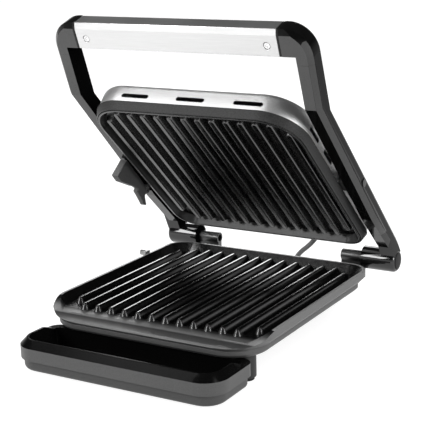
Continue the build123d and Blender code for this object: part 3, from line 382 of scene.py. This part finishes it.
def makeWorld():
    world = bpy.data.worlds.new("studioWorld")
    scene.world = world
    world.use_nodes = True
    tree = world.node_tree
    tree.nodes.clear()
    path = addNode(tree, "ShaderNodeLightPath").outputs
    direct = calc(tree, "MAXIMUM", path["Is Camera Ray"], path["Is Glossy Ray"])
    seen = calc(tree, "MAXIMUM", direct, path["Is Transmission Ray"])
    soft = addNode(tree, "ShaderNodeBackground", Strength=studio["worldDiffuse"], Color=(1, 1, 1, 1))
    white = addNode(tree, "ShaderNodeBackground", Strength=1.0)
    apart = addNode(tree, "ShaderNodeSeparateXYZ")
    tree.links.new(addNode(tree, "ShaderNodeTexCoord").outputs["Generated"], apart.inputs[0])
    rise = addNode(tree, "ShaderNodeMapRange", interpolation_type="SMOOTHSTEP", From_Min=studio["wallTop"],
                   From_Max=studio["ceilingStart"], To_Min=1.0, To_Max=studio["ceiling"])
    tree.links.new(apart.outputs["Z"], rise.inputs["Value"])
    tree.links.new(rise.outputs["Result"], white.inputs["Color"])
    mix = addNode(tree, "ShaderNodeMixShader")
    out = addNode(tree, "ShaderNodeOutputWorld")
    for socket, part in zip(mix.inputs, (seen, soft.outputs[0], white.outputs[0])):
        tree.links.new(part, socket)
    tree.links.new(mix.outputs[0], out.inputs[0])


def makeLamps():
    for name, place, aim, size, watts in studio["lamps"]:
        data = bpy.data.lights.new(name, "AREA")
        data.shape = "SQUARE"
        data.size = size
        data.energy = watts
        lamp = bpy.data.objects.new(name, data)
        scene.collection.objects.link(lamp)
        lamp.location = place
        lamp.rotation_euler = (Vector(place) - Vector(aim)).to_track_quat("Z", "Y").to_euler()


def makeFloor():
    # pale floor that reads white and still takes the shadow under the press
    mesh = bpy.data.meshes.new("floor")
    form = bmesh.new()
    bmesh.ops.create_circle(form, cap_ends=True, radius=studio["floorRadius"], segments=96)
    form.to_mesh(mesh)
    form.free()
    floor = bpy.data.objects.new("floor", mesh)
    scene.collection.objects.link(floor)
    floor.location.z = -studio["floorDrop"]
    material, tree, shader, place = startFinish("floorPale")
    paper = noiseOn(tree, place, studio["paperPatch"], "cloud")
    dark, light = (shade(studio["floorColour"], 1 + sign * studio["paperTint"]) for sign in (-1, 1))
    tree.links.new(tint(tree, paper, dark, light), shader.inputs["Base Color"])
    shader.inputs["Roughness"].default_value = studio["floorRoughness"]
    shader.inputs["Specular IOR Level"].default_value = 0.0
    path = addNode(tree, "ShaderNodeLightPath").outputs
    seen = calc(tree, "MAXIMUM", path["Is Camera Ray"], path["Is Glossy Ray"])
    glow = calc(tree, "MULTIPLY", seen, studio["floorGlow"])
    shader.inputs["Emission Color"].default_value = (1, 1, 1, 1)
    tree.links.new(glow, shader.inputs["Emission Strength"])
    mesh.materials.append(material)


placeCamera(photoView)
makeWorld()
makeLamps()
makeFloor()
print("camera, light and floor placed")


def newPiece(name, data):
    piece = bpy.data.objects.new(name, data)
    scene.collection.objects.link(piece)
    return piece


def evaluatedMesh(piece):
    graph = bpy.context.evaluated_depsgraph_get()
    graph.update()
    made = piece.evaluated_get(graph)
    return bpy.data.meshes.new_from_object(made, preserve_all_data_layers=True, depsgraph=graph)


def freezeModifiers(piece):
    # the evaluated mesh becomes the piece's own mesh, and the modifiers go
    solid = evaluatedMesh(piece)
    piece.modifiers.clear()
    old = piece.data
    piece.data = solid
    bpy.data.meshes.remove(old)
    solid.name = piece.name


# what counts as a broad flat face, and as lying in its plane
broadFace = {"area": 2e-4, "width": 0.005, "offPlane": 3e-5, "sameWay": 0.9998}


def samePlane(plane, normal, offset):
    return plane[0].dot(normal) > broadFace["sameWay"] and abs(plane[1] - offset) < broadFace["offPlane"]


def flatFaces(mesh):
    # faces in the plane of a broad face keep their own normal, so rounded edges don't shade them
    planes = []
    for face in mesh.polygons:
        longest = max((mesh.vertices[a].co - mesh.vertices[b].co).length for a, b in face.edge_keys)
        if face.area > broadFace["area"] and face.area / longest > broadFace["width"]:
            normal = face.normal.copy()
            offset = normal.dot(face.center)
            if not any(samePlane(plane, normal, offset) for plane in planes):
                planes.append((normal, offset))
    return {face.index for face in mesh.polygons
            if any(samePlane(plane, face.normal, plane[0].dot(face.center)) for plane in planes)}


# merging distance in metres, angles in degrees
softening = {"merge": 2e-6, "dissolveUnder": 0.6, "roundOver": 30.0, "roundSteps": 3, "sharpOver": 28.0}


def roundEdges(piece, edge):
    bevel = piece.modifiers.new("edgeRound", "BEVEL")
    bevel.width = edge
    bevel.segments = softening["roundSteps"]
    bevel.limit_method = "ANGLE"
    bevel.angle_limit = math.radians(softening["roundOver"])
    bevel.use_clamp_overlap = True
    bevel.miter_outer = "MITER_ARC"
    bevel.loop_slide = True
    freezeModifiers(piece)


def softCopy(node, name, edge, slot, finishNames, paint=None, drop=None, shape=None):
    # merged copy of a CAD solid with its sharp edges rounded by edge metres
    # paint names the finish of a face, drop picks the faces to leave out, shape changes the form
    form = bmesh.new()
    form.from_mesh(nodes[node].data)
    bmesh.ops.remove_doubles(form, verts=form.verts, dist=softening["merge"])
    if drop:
        bmesh.ops.delete(form, geom=[f for f in form.faces if drop(f)], context="FACES")
    bmesh.ops.dissolve_limit(form, angle_limit=math.radians(softening["dissolveUnder"]), verts=form.verts,
                             edges=form.edges, use_dissolve_boundaries=False)
    if shape:
        shape(form)
    mesh = bpy.data.meshes.new(name)
    form.to_mesh(mesh)
    form.free()
    for finish in finishNames:
        mesh.materials.append(finishes[finish])
    piece = newPiece(name, mesh)
    roundEdges(piece, edge)
    mesh = piece.data
    # this clears flat faces, so they come after it
    mesh.set_sharp_from_angle(angle=math.radians(softening["sharpOver"]))
    flat = flatFaces(mesh)
    for face in mesh.polygons:
        face.use_smooth = face.index not in flat
        face.material_index = finishNames.index(paint(face.center, face.normal)) if paint else 0
    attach(piece, nodeBody[node])
    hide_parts(node)


# ribs are grown below, so the copied plates leave theirs out
ribField = {"count": 14, "pitch": 0.016, "foot": 0.009, "height": 0.006,
            "slack": 0.00005,  # how far a vertex may lie outside its rib
            "lift": 0.0004,  # faces that stay lower than this belong to the plate
            "overlap": 0.0004}  # grown ribs are this much longer and wider


def onRib(x, along, plate):
    last = ribField["count"] - 1
    row = min(max(round(x / ribField["pitch"] + last / 2), 0), last)
    length = plate["outerLength"] if row in (0, last) else plate["ribLength"]
    aside = abs(x - (row - last / 2) * ribField["pitch"]) - ribField["foot"] / 2
    past = abs(along - plate["middle"]) - length / 2
    return max(aside, past) <= ribField["slack"]


# lower plate: black coated inside, grained grey band round the outside
lowerPlate = {
    "floor": 0.040, "middle": 0.0185, "edge": 0.0006,
    "ribLength": 0.228, "outerLength": 0.2, "ribTop": 0.0038, "ribRounding": 0.003,
    "ribFinish": "lowerRib", "ribEndFinish": "ribEndShaded",
    "bandSide": 0.1095, "bandFront": -0.1, "bandBack": 0.134, "bandOutward": 0.02,
    "rim": 0.0482, "lipFront": -0.1175, "lipFacing": 0.3, "levelFacing": 0.6,
}


def lowerRibFace(face):
    inside = all(onRib(v.co.x, v.co.y, lowerPlate) for v in face.verts)
    return inside and max(v.co.z for v in face.verts) > lowerPlate["floor"] + ribField["lift"]


def lowerPlateFace(c, n):
    plate = lowerPlate
    outward = n.x * c.x + n.y * (c.y - plate["middle"])
    outside = abs(c.x) > plate["bandSide"] or not plate["bandFront"] <= c.y <= plate["bandBack"]
    level = n.z > plate["levelFacing"]
    if outside and not level and outward > plate["bandOutward"]:
        return "band"
    # level rim top: the band's grey, painted lighter as the highlight along the rim
    if level and c.z > plate["rim"]:
        return "rim"
    # the lip's top faces take the lighter finish: painted highlight on the pour lip
    return "lip" if c.y < plate["lipFront"] and n.z > plate["lipFacing"] else "lowerCoatingPaintedSheen"


softCopy("lower_grill_plate", "lowerPlate", lowerPlate["edge"], "lower_plate_coating",
         ["lowerCoatingPaintedSheen", "band", "lip", "rim"], lowerPlateFace, lowerRibFace)

# upper plate, the same pan turned over in the lid; floor and middle are read across and along the lid
upperPlate = {
    "floor": 0.007, "middle": -0.151, "edge": 0.0006, "wallFacing": -0.93,
    "ribLength": 0.22, "outerLength": 0.192, "ribTop": 0.0054, "ribRounding": 0.0022,
    "ribFinish": "coating", "ribEndFinish": "coating",
}


def upperRibFace(face):
    spots = [lidCoords(v.co) for v in face.verts]
    inside = all(onRib(p.x, p.y, upperPlate) for p in spots)
    return inside and min(p.z for p in spots) < upperPlate["floor"] - ribField["lift"]


def upperPlateFace(c, n):
    # the sloping walls get a darker, duller copy of the coating as painted shade
    return "upperWallShaded" if n.dot(lidAcross) > upperPlate["wallFacing"] else "coating"


softCopy("upper_grill_plate", "upperPlate", upperPlate["edge"], "upper_plate_coating",
         ["coating", "upperWallShaded"], upperPlateFace, upperRibFace)
print("plates copied without their ribs")


def groupWith(name, wholes, numbers, materials):
    # node group with named inputs; ids gives each input's identifier
    tree = bpy.data.node_groups.new(name, "GeometryNodeTree")
    tree.interface.new_socket("Geometry", in_out="INPUT", socket_type="NodeSocketGeometry")
    ids = {}
    for kind, labels in (("Int", wholes), ("Float", numbers), ("Material", materials)):
        for label in labels:
            socket = tree.interface.new_socket(label, in_out="INPUT", socket_type="NodeSocket" + kind)
            ids[label] = socket.identifier
    tree.interface.new_socket("Geometry", in_out="OUTPUT", socket_type="NodeSocketGeometry")
    given = addNode(tree, "NodeGroupInput").outputs
    return tree, given, addNode(tree, "NodeGroupOutput"), ids


def named(tree, name):
    node = addNode(tree, "GeometryNodeInputNamedAttribute", data_type="FLOAT", Name=name)
    return node.outputs["Attribute"]


def store(tree, geometry, name, value):
    node = addNode(tree, "GeometryNodeStoreNamedAttribute", data_type="FLOAT", domain="POINT", Name=name)
    tree.links.new(geometry, node.inputs["Geometry"])
    tree.links.new(value, node.inputs["Value"])
    return node.outputs["Geometry"]


def setFinish(tree, geometry, finish, chosen=None):
    node = addNode(tree, "GeometryNodeSetMaterial")
    tree.links.new(geometry, node.inputs["Geometry"])
    tree.links.new(finish, node.inputs["Material"])
    if chosen is not None:
        tree.links.new(chosen, node.inputs["Selection"])
    return node.outputs[0]


ribAttributes = ("across", "along", "rowX", "ribLength")  # only the rib tree needs them


def growPiece(name, tree, ids, settings, place, body, spots=()):
    piece = newPiece(name, bpy.data.meshes.new(name))
    piece.data.from_pydata(spots, [], [])
    modifier = piece.modifiers.new(tree.name, "NODES")
    modifier.node_group = tree
    for label, value in settings.items():
        modifier[ids[label]] = value
    freezeModifiers(piece)
    for spare in ribAttributes:
        if spare in piece.data.attributes:
            piece.data.attributes.remove(piece.data.attributes[spare])
    piece.data.transform(place)
    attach(piece, body)
    return piece


# each rib is bent from a flat patch that runs from -1 to 1 both ways
ribPatch = {"size": 2.0, "pointsAcross": 19, "pointsAlong": 49,
            "straight": 0.5, "endFrom": 0.52,  # shares of the patch from its middle to its end
            "skirt": 0.0003, "sink": 0.0008}  # the foot reaches a little past the rib and into the plate


def ribTree():
    lengths = ["Pitch", "Length", "Outer Length", "Foot Width", "Top Width", "Height", "Rounding"]
    tree, given, out, ids = groupWith("ribRow", ["Count"], lengths, ["Finish", "End Finish"])
    grid = addNode(tree, "GeometryNodeMeshGrid", Size_X=ribPatch["size"], Size_Y=ribPatch["size"],
                   Vertices_X=ribPatch["pointsAcross"], Vertices_Y=ribPatch["pointsAlong"])
    apart = addNode(tree, "ShaderNodeSeparateXYZ")
    tree.links.new(addNode(tree, "GeometryNodeInputPosition").outputs[0], apart.inputs[0])
    patch = store(tree, grid.outputs["Mesh"], "across", apart.outputs["X"])
    patch = store(tree, patch, "along", apart.outputs["Y"])

    # a row of points, one for each rib; the first and the last rib are shorter
    line = addNode(tree, "GeometryNodeMeshLine")
    tree.links.new(given["Count"], line.inputs["Count"])
    last = calc(tree, "SUBTRACT", given["Count"], 1.0)
    index = addNode(tree, "GeometryNodeInputIndex").outputs[0]
    fromMiddle = calc(tree, "SUBTRACT", index, calc(tree, "MULTIPLY", last, 0.5))
    rowX = calc(tree, "MULTIPLY", fromMiddle, given["Pitch"])
    isLast = calc(tree, "GREATER_THAN", index, calc(tree, "SUBTRACT", last, 0.5))
    outer = calc(tree, "MAXIMUM", calc(tree, "LESS_THAN", index, 0.5), isLast)
    shorter = calc(tree, "SUBTRACT", given["Outer Length"], given["Length"])
    length = calc(tree, "ADD", given["Length"], calc(tree, "MULTIPLY", outer, shorter))
    points = store(tree, line.outputs["Mesh"], "rowX", rowX)
    points = store(tree, points, "ribLength", length)
    place = addNode(tree, "GeometryNodeInstanceOnPoints")
    tree.links.new(points, place.inputs["Points"])
    tree.links.new(patch, place.inputs["Instance"])
    real = addNode(tree, "GeometryNodeRealizeInstances")
    tree.links.new(place.outputs[0], real.inputs[0])

    # height over the floor falls with the distance from the rib's middle line
    foot = calc(tree, "MULTIPLY", given["Foot Width"], 0.5)
    top = calc(tree, "MULTIPLY", given["Top Width"], 0.5)
    skirt = calc(tree, "ADD", foot, ribPatch["skirt"])
    across = calc(tree, "MULTIPLY", named(tree, "across"), skirt)
    straight = calc(tree, "SUBTRACT", calc(tree, "MULTIPLY", named(tree, "ribLength"), 0.5), foot)
    far = calc(tree, "ABSOLUTE", named(tree, "along"))
    share = ribPatch["straight"]
    run = calc(tree, "MULTIPLY", straight, calc(tree, "MINIMUM", calc(tree, "DIVIDE", far, share), 1.0))
    pastRun = calc(tree, "DIVIDE", calc(tree, "SUBTRACT", far, share), 1 - share)
    tip = calc(tree, "MULTIPLY", skirt, calc(tree, "MAXIMUM", pastRun, 0.0))
    along = calc(tree, "MULTIPLY", calc(tree, "ADD", run, tip), calc(tree, "SIGN", named(tree, "along")))
    squares = calc(tree, "ADD", calc(tree, "MULTIPLY", across, across), calc(tree, "MULTIPLY", tip, tip))
    slope = calc(tree, "DIVIDE", given["Height"], calc(tree, "SUBTRACT", foot, top))
    rise = calc(tree, "MULTIPLY", calc(tree, "SUBTRACT", foot, calc(tree, "SQRT", squares)), slope)
    crown = calc(tree, "SMOOTH_MIN", rise, given["Height"], given["Rounding"])
    lift = calc(tree, "MAXIMUM", crown, -ribPatch["sink"])
    spot = addNode(tree, "ShaderNodeCombineXYZ")
    for socket, part in zip(spot.inputs, (calc(tree, "ADD", across, named(tree, "rowX")), along, lift)):
        tree.links.new(part, socket)
    move = addNode(tree, "GeometryNodeSetPosition")
    tree.links.new(real.outputs[0], move.inputs["Geometry"])
    tree.links.new(spot.outputs[0], move.inputs["Position"])
    smooth = addNode(tree, "GeometryNodeSetShadeSmooth")
    tree.links.new(move.outputs[0], smooth.inputs["Geometry"])
    dressed = setFinish(tree, smooth.outputs[0], given["Finish"])
    # on the lower plate the end finish is a darker copy of the coating, painted shade
    onEnd = calc(tree, "GREATER_THAN", far, ribPatch["endFrom"])
    tree.links.new(setFinish(tree, dressed, given["End Finish"], onEnd), out.inputs[0])
    return tree, ids


def ribSettings(plate):
    wider = ribField["overlap"]
    return {
        "Count": ribField["count"], "Pitch": ribField["pitch"], "Height": ribField["height"],
        "Length": plate["ribLength"] + wider, "Outer Length": plate["outerLength"] + wider,
        "Foot Width": ribField["foot"] + wider, "Top Width": plate["ribTop"],
        "Rounding": plate["ribRounding"],
        "Finish": finishes[plate["ribFinish"]], "End Finish": finishes[plate["ribEndFinish"]],
    }


ribRow, ribIds = ribTree()
lowerPlace = Matrix.Translation((0, lowerPlate["middle"], lowerPlate["floor"]))
upperTurn = Matrix((Vector((-1, 0, 0)), lidAlong, -lidAcross)).transposed().to_4x4()
upperPlace = Matrix.Translation(lidPoint(0, upperPlate["middle"], upperPlate["floor"])) @ upperTurn
growPiece("lowerRibs", ribRow, ribIds, ribSettings(lowerPlate), lowerPlace, "base")
growPiece("upperRibs", ribRow, ribIds, ribSettings(upperPlate), upperPlace, "lid")
print("ribs grown")

# drip tray: grained band and foot, black bevel and inside; the rim is eased from easeFrom to easeTo
dripTray = {"edge": 0.0006, "middle": -0.147, "footTop": 0.013, "rimLow": 0.0252, "bevelLow": 0.0256,
            "outward": 0.0005, "levelFacing": 0.35, "easeFrom": -0.136, "easeTo": -0.1205}


def dripTrayFace(c, n):
    outward = n.x * c.x + n.y * (c.y - dripTray["middle"])
    if c.z > dripTray["bevelLow"] or outward < dripTray["outward"] or n.z > dripTray["levelFacing"]:
        return "trayInside"
    return "trayFoot" if c.z < dripTray["footTop"] else "trayBand"


def easeTrayRim(form):
    # the rim comes down to the edge where it ends beside the plate
    start, end, low = dripTray["easeFrom"], dripTray["easeTo"], dripTray["rimLow"]
    bmesh.ops.bisect_plane(form, geom=form.verts[:] + form.edges[:] + form.faces[:], plane_co=(0, start, 0),
                           plane_no=(0, 1, 0))
    for v in form.verts:
        if v.co.y > start and v.co.z > low:
            left = max(0.0, (end - v.co.y) / (end - start))
            v.co.z = low + (v.co.z - low) * left


softCopy("drip_tray", "dripTray", dripTray["edge"], "tray_plastic", ["trayBand", "trayInside", "trayFoot"],
         dripTrayFace, None, easeTrayRim)

# bezel of the lid, with a smoother lip towards the plates
lidBezel = {"edge": 0.0018, "lipFacing": -0.8}


def bezelFace(c, n):
    return "bezelLip" if n.dot(lidAcross) < lidBezel["lipFacing"] else "bezel"


# arms and their under-covers; the rounded seam edges leave a fine groove between them
armShell = {
    "seam": 0.00035, "gripAngle": 69.6, "bend": -0.262,  # the bend's place along the lid
    "barrel": 0.0138,  # faces this near to the hinge line are the barrel
    "lidFacing": -0.6, "outFacing": 0.9, "gripFacing": 0.96,
    "bevelOut": 0.4, "bevelUp": 0.15, "bevelFront": -0.4,
}
armFinishes = ["armGloss", "armFrontPaintedReflection", "armInnerPaintedShade", "armSidePaintedShade", "barrelGloss", "armBevelPaintedReflection", "armElbowPaintedShade"]
gripAngle = math.radians(armShell["gripAngle"])
gripFront = Vector((0, -math.sin(gripAngle), -math.cos(gripAngle)))


def armFace(c, n):
    # grey grip front and bevel are painted reflection of the floor; towards the lid, outside and on the elbow the
    # gloss black has its reflection turned down as painted shade; gloss elsewhere
    side = math.copysign(1, c.x) * n.x
    if side < armShell["lidFacing"]:
        return "armInnerPaintedShade"
    if side > armShell["outFacing"]:
        return "armSidePaintedShade"
    if math.hypot(c.y - hingeSpot.y, c.z - hingeSpot.z) < armShell["barrel"]:
        return "barrelGloss"
    aboveBend = lidCoords(c).y < armShell["bend"]
    if aboveBend and n.dot(gripFront) > armShell["gripFacing"]:
        return "armFrontPaintedReflection"
    turnedOut = side > armShell["bevelOut"]
    frontward = min(n.dot(lidAcross), -n.dot(gripFront)) < armShell["bevelFront"]
    if turnedOut and frontward and n.z < armShell["bevelUp"]:
        return "armBevelPaintedReflection"
    return "armElbowPaintedShade" if turnedOut or aboveBend else "armGloss"


# the other copies: CAD node, piece, edge rounding, record slot, finishes, and what paints the faces
armSeam = armShell["seam"]
otherCopies = [
    ("base_housing", "baseHousing", 0.0005, "base_plastic", ["housing"]),
    ("base_cover", "baseBelly", 0.0006, "belly_metal", ["belly"]),
    ("feet", "feetFront", 0.0006, "foot_plastic", ["footPlastic"]),
    ("hinge_knuckle_left", "knuckleLeft", 0.0006, "knuckle_metal", ["knuckle"]),
    ("hinge_knuckle_right", "knuckleRight", 0.0006, "knuckle_metal", ["knuckle"]),
    ("lock_catch", "lockCatch", 0.0004, "catch_metal", ["catch"]),
    ("lid_cover", "lidCover", 0.0005, "lid_steel", ["steel"]),
    ("lid_bezel", "lidBezel", lidBezel["edge"], "bezel_plastic", ["bezel", "bezelLip"], bezelFace),
    ("arm_left", "armLeft", armSeam, "arm_gloss", armFinishes, armFace),
    ("arm_right", "armRight", armSeam, "arm_gloss", armFinishes, armFace),
    ("arm_left_cover", "armLeftUnder", armSeam, "arm_cover_gloss", armFinishes, armFace),
    ("arm_right_cover", "armRightUnder", armSeam, "arm_cover_gloss", armFinishes, armFace),
    ("handle_collars", "handleCollars", 0.0004, "collar_gloss", ["collarGloss"]),
    ("pivot_caps", "pivotCaps", 0.0005, "cap_gloss", ["collarGloss"]),
    ("lock_lever", "lockLever", 0.0006, "lever_plastic", ["lever"]),
    ("handle_bar", "handleBar", 0.0005, "handle_aluminium", ["aluminium"]),
]
for copySettings in otherCopies:
    softCopy(*copySettings)
print("softened copies made")

# cross-head screws, one tree for the handle and the belly
screwForm = {"headSides": 40, "shankSides": 24, "topShare": 0.9}


def screwTree():
    lengths = ["Radius", "Head", "Slot Width", "Slot Length", "Slot Depth", "Shank Radius", "Shank Length"]
    tree, given, out, ids = groupWith("crossScrews", [], lengths, ["Finish"])

    def raised(geometry, height):
        spot = addNode(tree, "ShaderNodeCombineXYZ")
        tree.links.new(height, spot.inputs["Z"])
        move = addNode(tree, "GeometryNodeTransform")
        tree.links.new(geometry, move.inputs["Geometry"])
        tree.links.new(spot.outputs[0], move.inputs["Translation"])
        return move.outputs[0]

    head = addNode(tree, "GeometryNodeMeshCone", Vertices=screwForm["headSides"])
    topRadius = calc(tree, "MULTIPLY", given["Radius"], screwForm["topShare"])
    tree.links.new(topRadius, head.inputs["Radius Top"])
    tree.links.new(given["Radius"], head.inputs["Radius Bottom"])
    tree.links.new(given["Head"], head.inputs["Depth"])
    cut = addNode(tree, "GeometryNodeMeshBoolean", operation="DIFFERENCE", solver="EXACT")
    tree.links.new(head.outputs["Mesh"], cut.inputs["Mesh 1"])
    deep = calc(tree, "MULTIPLY", given["Slot Depth"], 2.0)  # half of the bar stands over the head
    for wide, long in (("Slot Width", "Slot Length"), ("Slot Length", "Slot Width")):
        size = addNode(tree, "ShaderNodeCombineXYZ")
        for socket, part in zip(size.inputs, (given[wide], given[long], deep)):
            tree.links.new(part, socket)
        bar = addNode(tree, "GeometryNodeMeshCube")
        tree.links.new(size.outputs[0], bar.inputs["Size"])
        tree.links.new(raised(bar.outputs["Mesh"], given["Head"]), cut.inputs["Mesh 2"])
    shank = addNode(tree, "GeometryNodeMeshCylinder", Vertices=screwForm["shankSides"])
    tree.links.new(given["Shank Radius"], shank.inputs["Radius"])
    tree.links.new(given["Shank Length"], shank.inputs["Depth"])
    join = addNode(tree, "GeometryNodeJoinGeometry")
    tree.links.new(cut.outputs["Mesh"], join.inputs[0])
    halfDown = calc(tree, "MULTIPLY", given["Shank Length"], -0.5)
    tree.links.new(raised(shank.outputs["Mesh"], halfDown), join.inputs[0])
    place = addNode(tree, "GeometryNodeInstanceOnPoints")
    tree.links.new(given["Geometry"], place.inputs["Points"])
    tree.links.new(join.outputs[0], place.inputs["Instance"])
    real = addNode(tree, "GeometryNodeRealizeInstances")
    tree.links.new(place.outputs[0], real.inputs[0])
    tree.links.new(setFinish(tree, real.outputs[0], given["Finish"]), out.inputs[0])
    return tree, ids


def faceMatrix(origin, outward):
    across = Vector((1, 0, 0))
    turn = Matrix((across, outward.cross(across), outward)).transposed().to_4x4()
    return Matrix.Translation(origin) @ turn


handleScrews = {
    "face": (0, -0.048, 0.30642), "spots": [(-0.1008, 0, 0), (0.1008, 0, 0)],
    "sizes": {"Radius": 0.00345, "Head": 0.00125, "Slot Width": 0.0011, "Slot Length": 0.0042,
              "Slot Depth": 0.0008, "Shank Radius": 0.002, "Shank Length": 0.0072,
              "Finish": finishes["handleScrew"]},
}
bellyScrews = {
    "face": (0, 0, 0.0109), "spots": [(x, y, 0) for x in (-0.066, 0.066) for y in (0.0355, -0.0865)],
    "sizes": {"Radius": 0.0036, "Head": 0.0019, "Slot Width": 0.0011, "Slot Length": 0.0044,
              "Slot Depth": 0.0009, "Shank Radius": 0.0016, "Shank Length": 0.0005,
              "Finish": finishes["screw"]},
}
crossScrews, screwIds = screwTree()
handlePiece = growPiece("handleScrews", crossScrews, screwIds, handleScrews["sizes"],
                        faceMatrix(handleScrews["face"], gripFront), "arm_frame",
                        handleScrews["spots"])
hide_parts("handle_screws")
bellyPiece = growPiece("bellyScrews", crossScrews, screwIds, bellyScrews["sizes"],
                       faceMatrix(bellyScrews["face"], Vector((0, 0, -1))), "base",
                       bellyScrews["spots"])
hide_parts("base_screws")
print("screws placed")

# lead from the belly up behind the plates into the lid
leadRun = {
    "route": [(0.022, 0.0885, 0.019), (0.022, 0.1485, 0.019), (0.0235, 0.158, 0.035), (0.028, 0.155, 0.047),
              (0.047, 0.155, 0.0625), (0.054, 0.16514, 0.07804), (0.054, 0.14821, 0.09361)],
    "radius": 0.00275, "start": (0.0235, 0.158, 0.035), "end": (0.054, 0.160, 0.080),
    "stepsAlong": 16, "stepsRound": 6,
}


def makeLead():
    line = bpy.data.curves.new("leadLine", "CURVE")
    line.dimensions = "3D"
    run = line.splines.new("NURBS")
    run.points.add(len(leadRun["route"]) - 1)
    for point, spot in zip(run.points, leadRun["route"]):
        point.co = (*spot, 1)
    run.order_u = 3
    run.use_endpoint_u = True
    line.resolution_u = leadRun["stepsAlong"]
    line.bevel_depth = leadRun["radius"]
    line.bevel_resolution = leadRun["stepsRound"]
    line.use_fill_caps = True
    guide = newPiece("leadLine", line)
    mesh = evaluatedMesh(guide)
    bpy.data.objects.remove(guide)
    mesh.name = "lidLead"
    mesh.materials.clear()
    mesh.materials.append(finishes["leadSkin"])
    for face in mesh.polygons:
        face.use_smooth = True
    piece = newPiece("lidLead", mesh)
    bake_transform(piece)
    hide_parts("lid_lead")


makeLead()
print("lead laid")
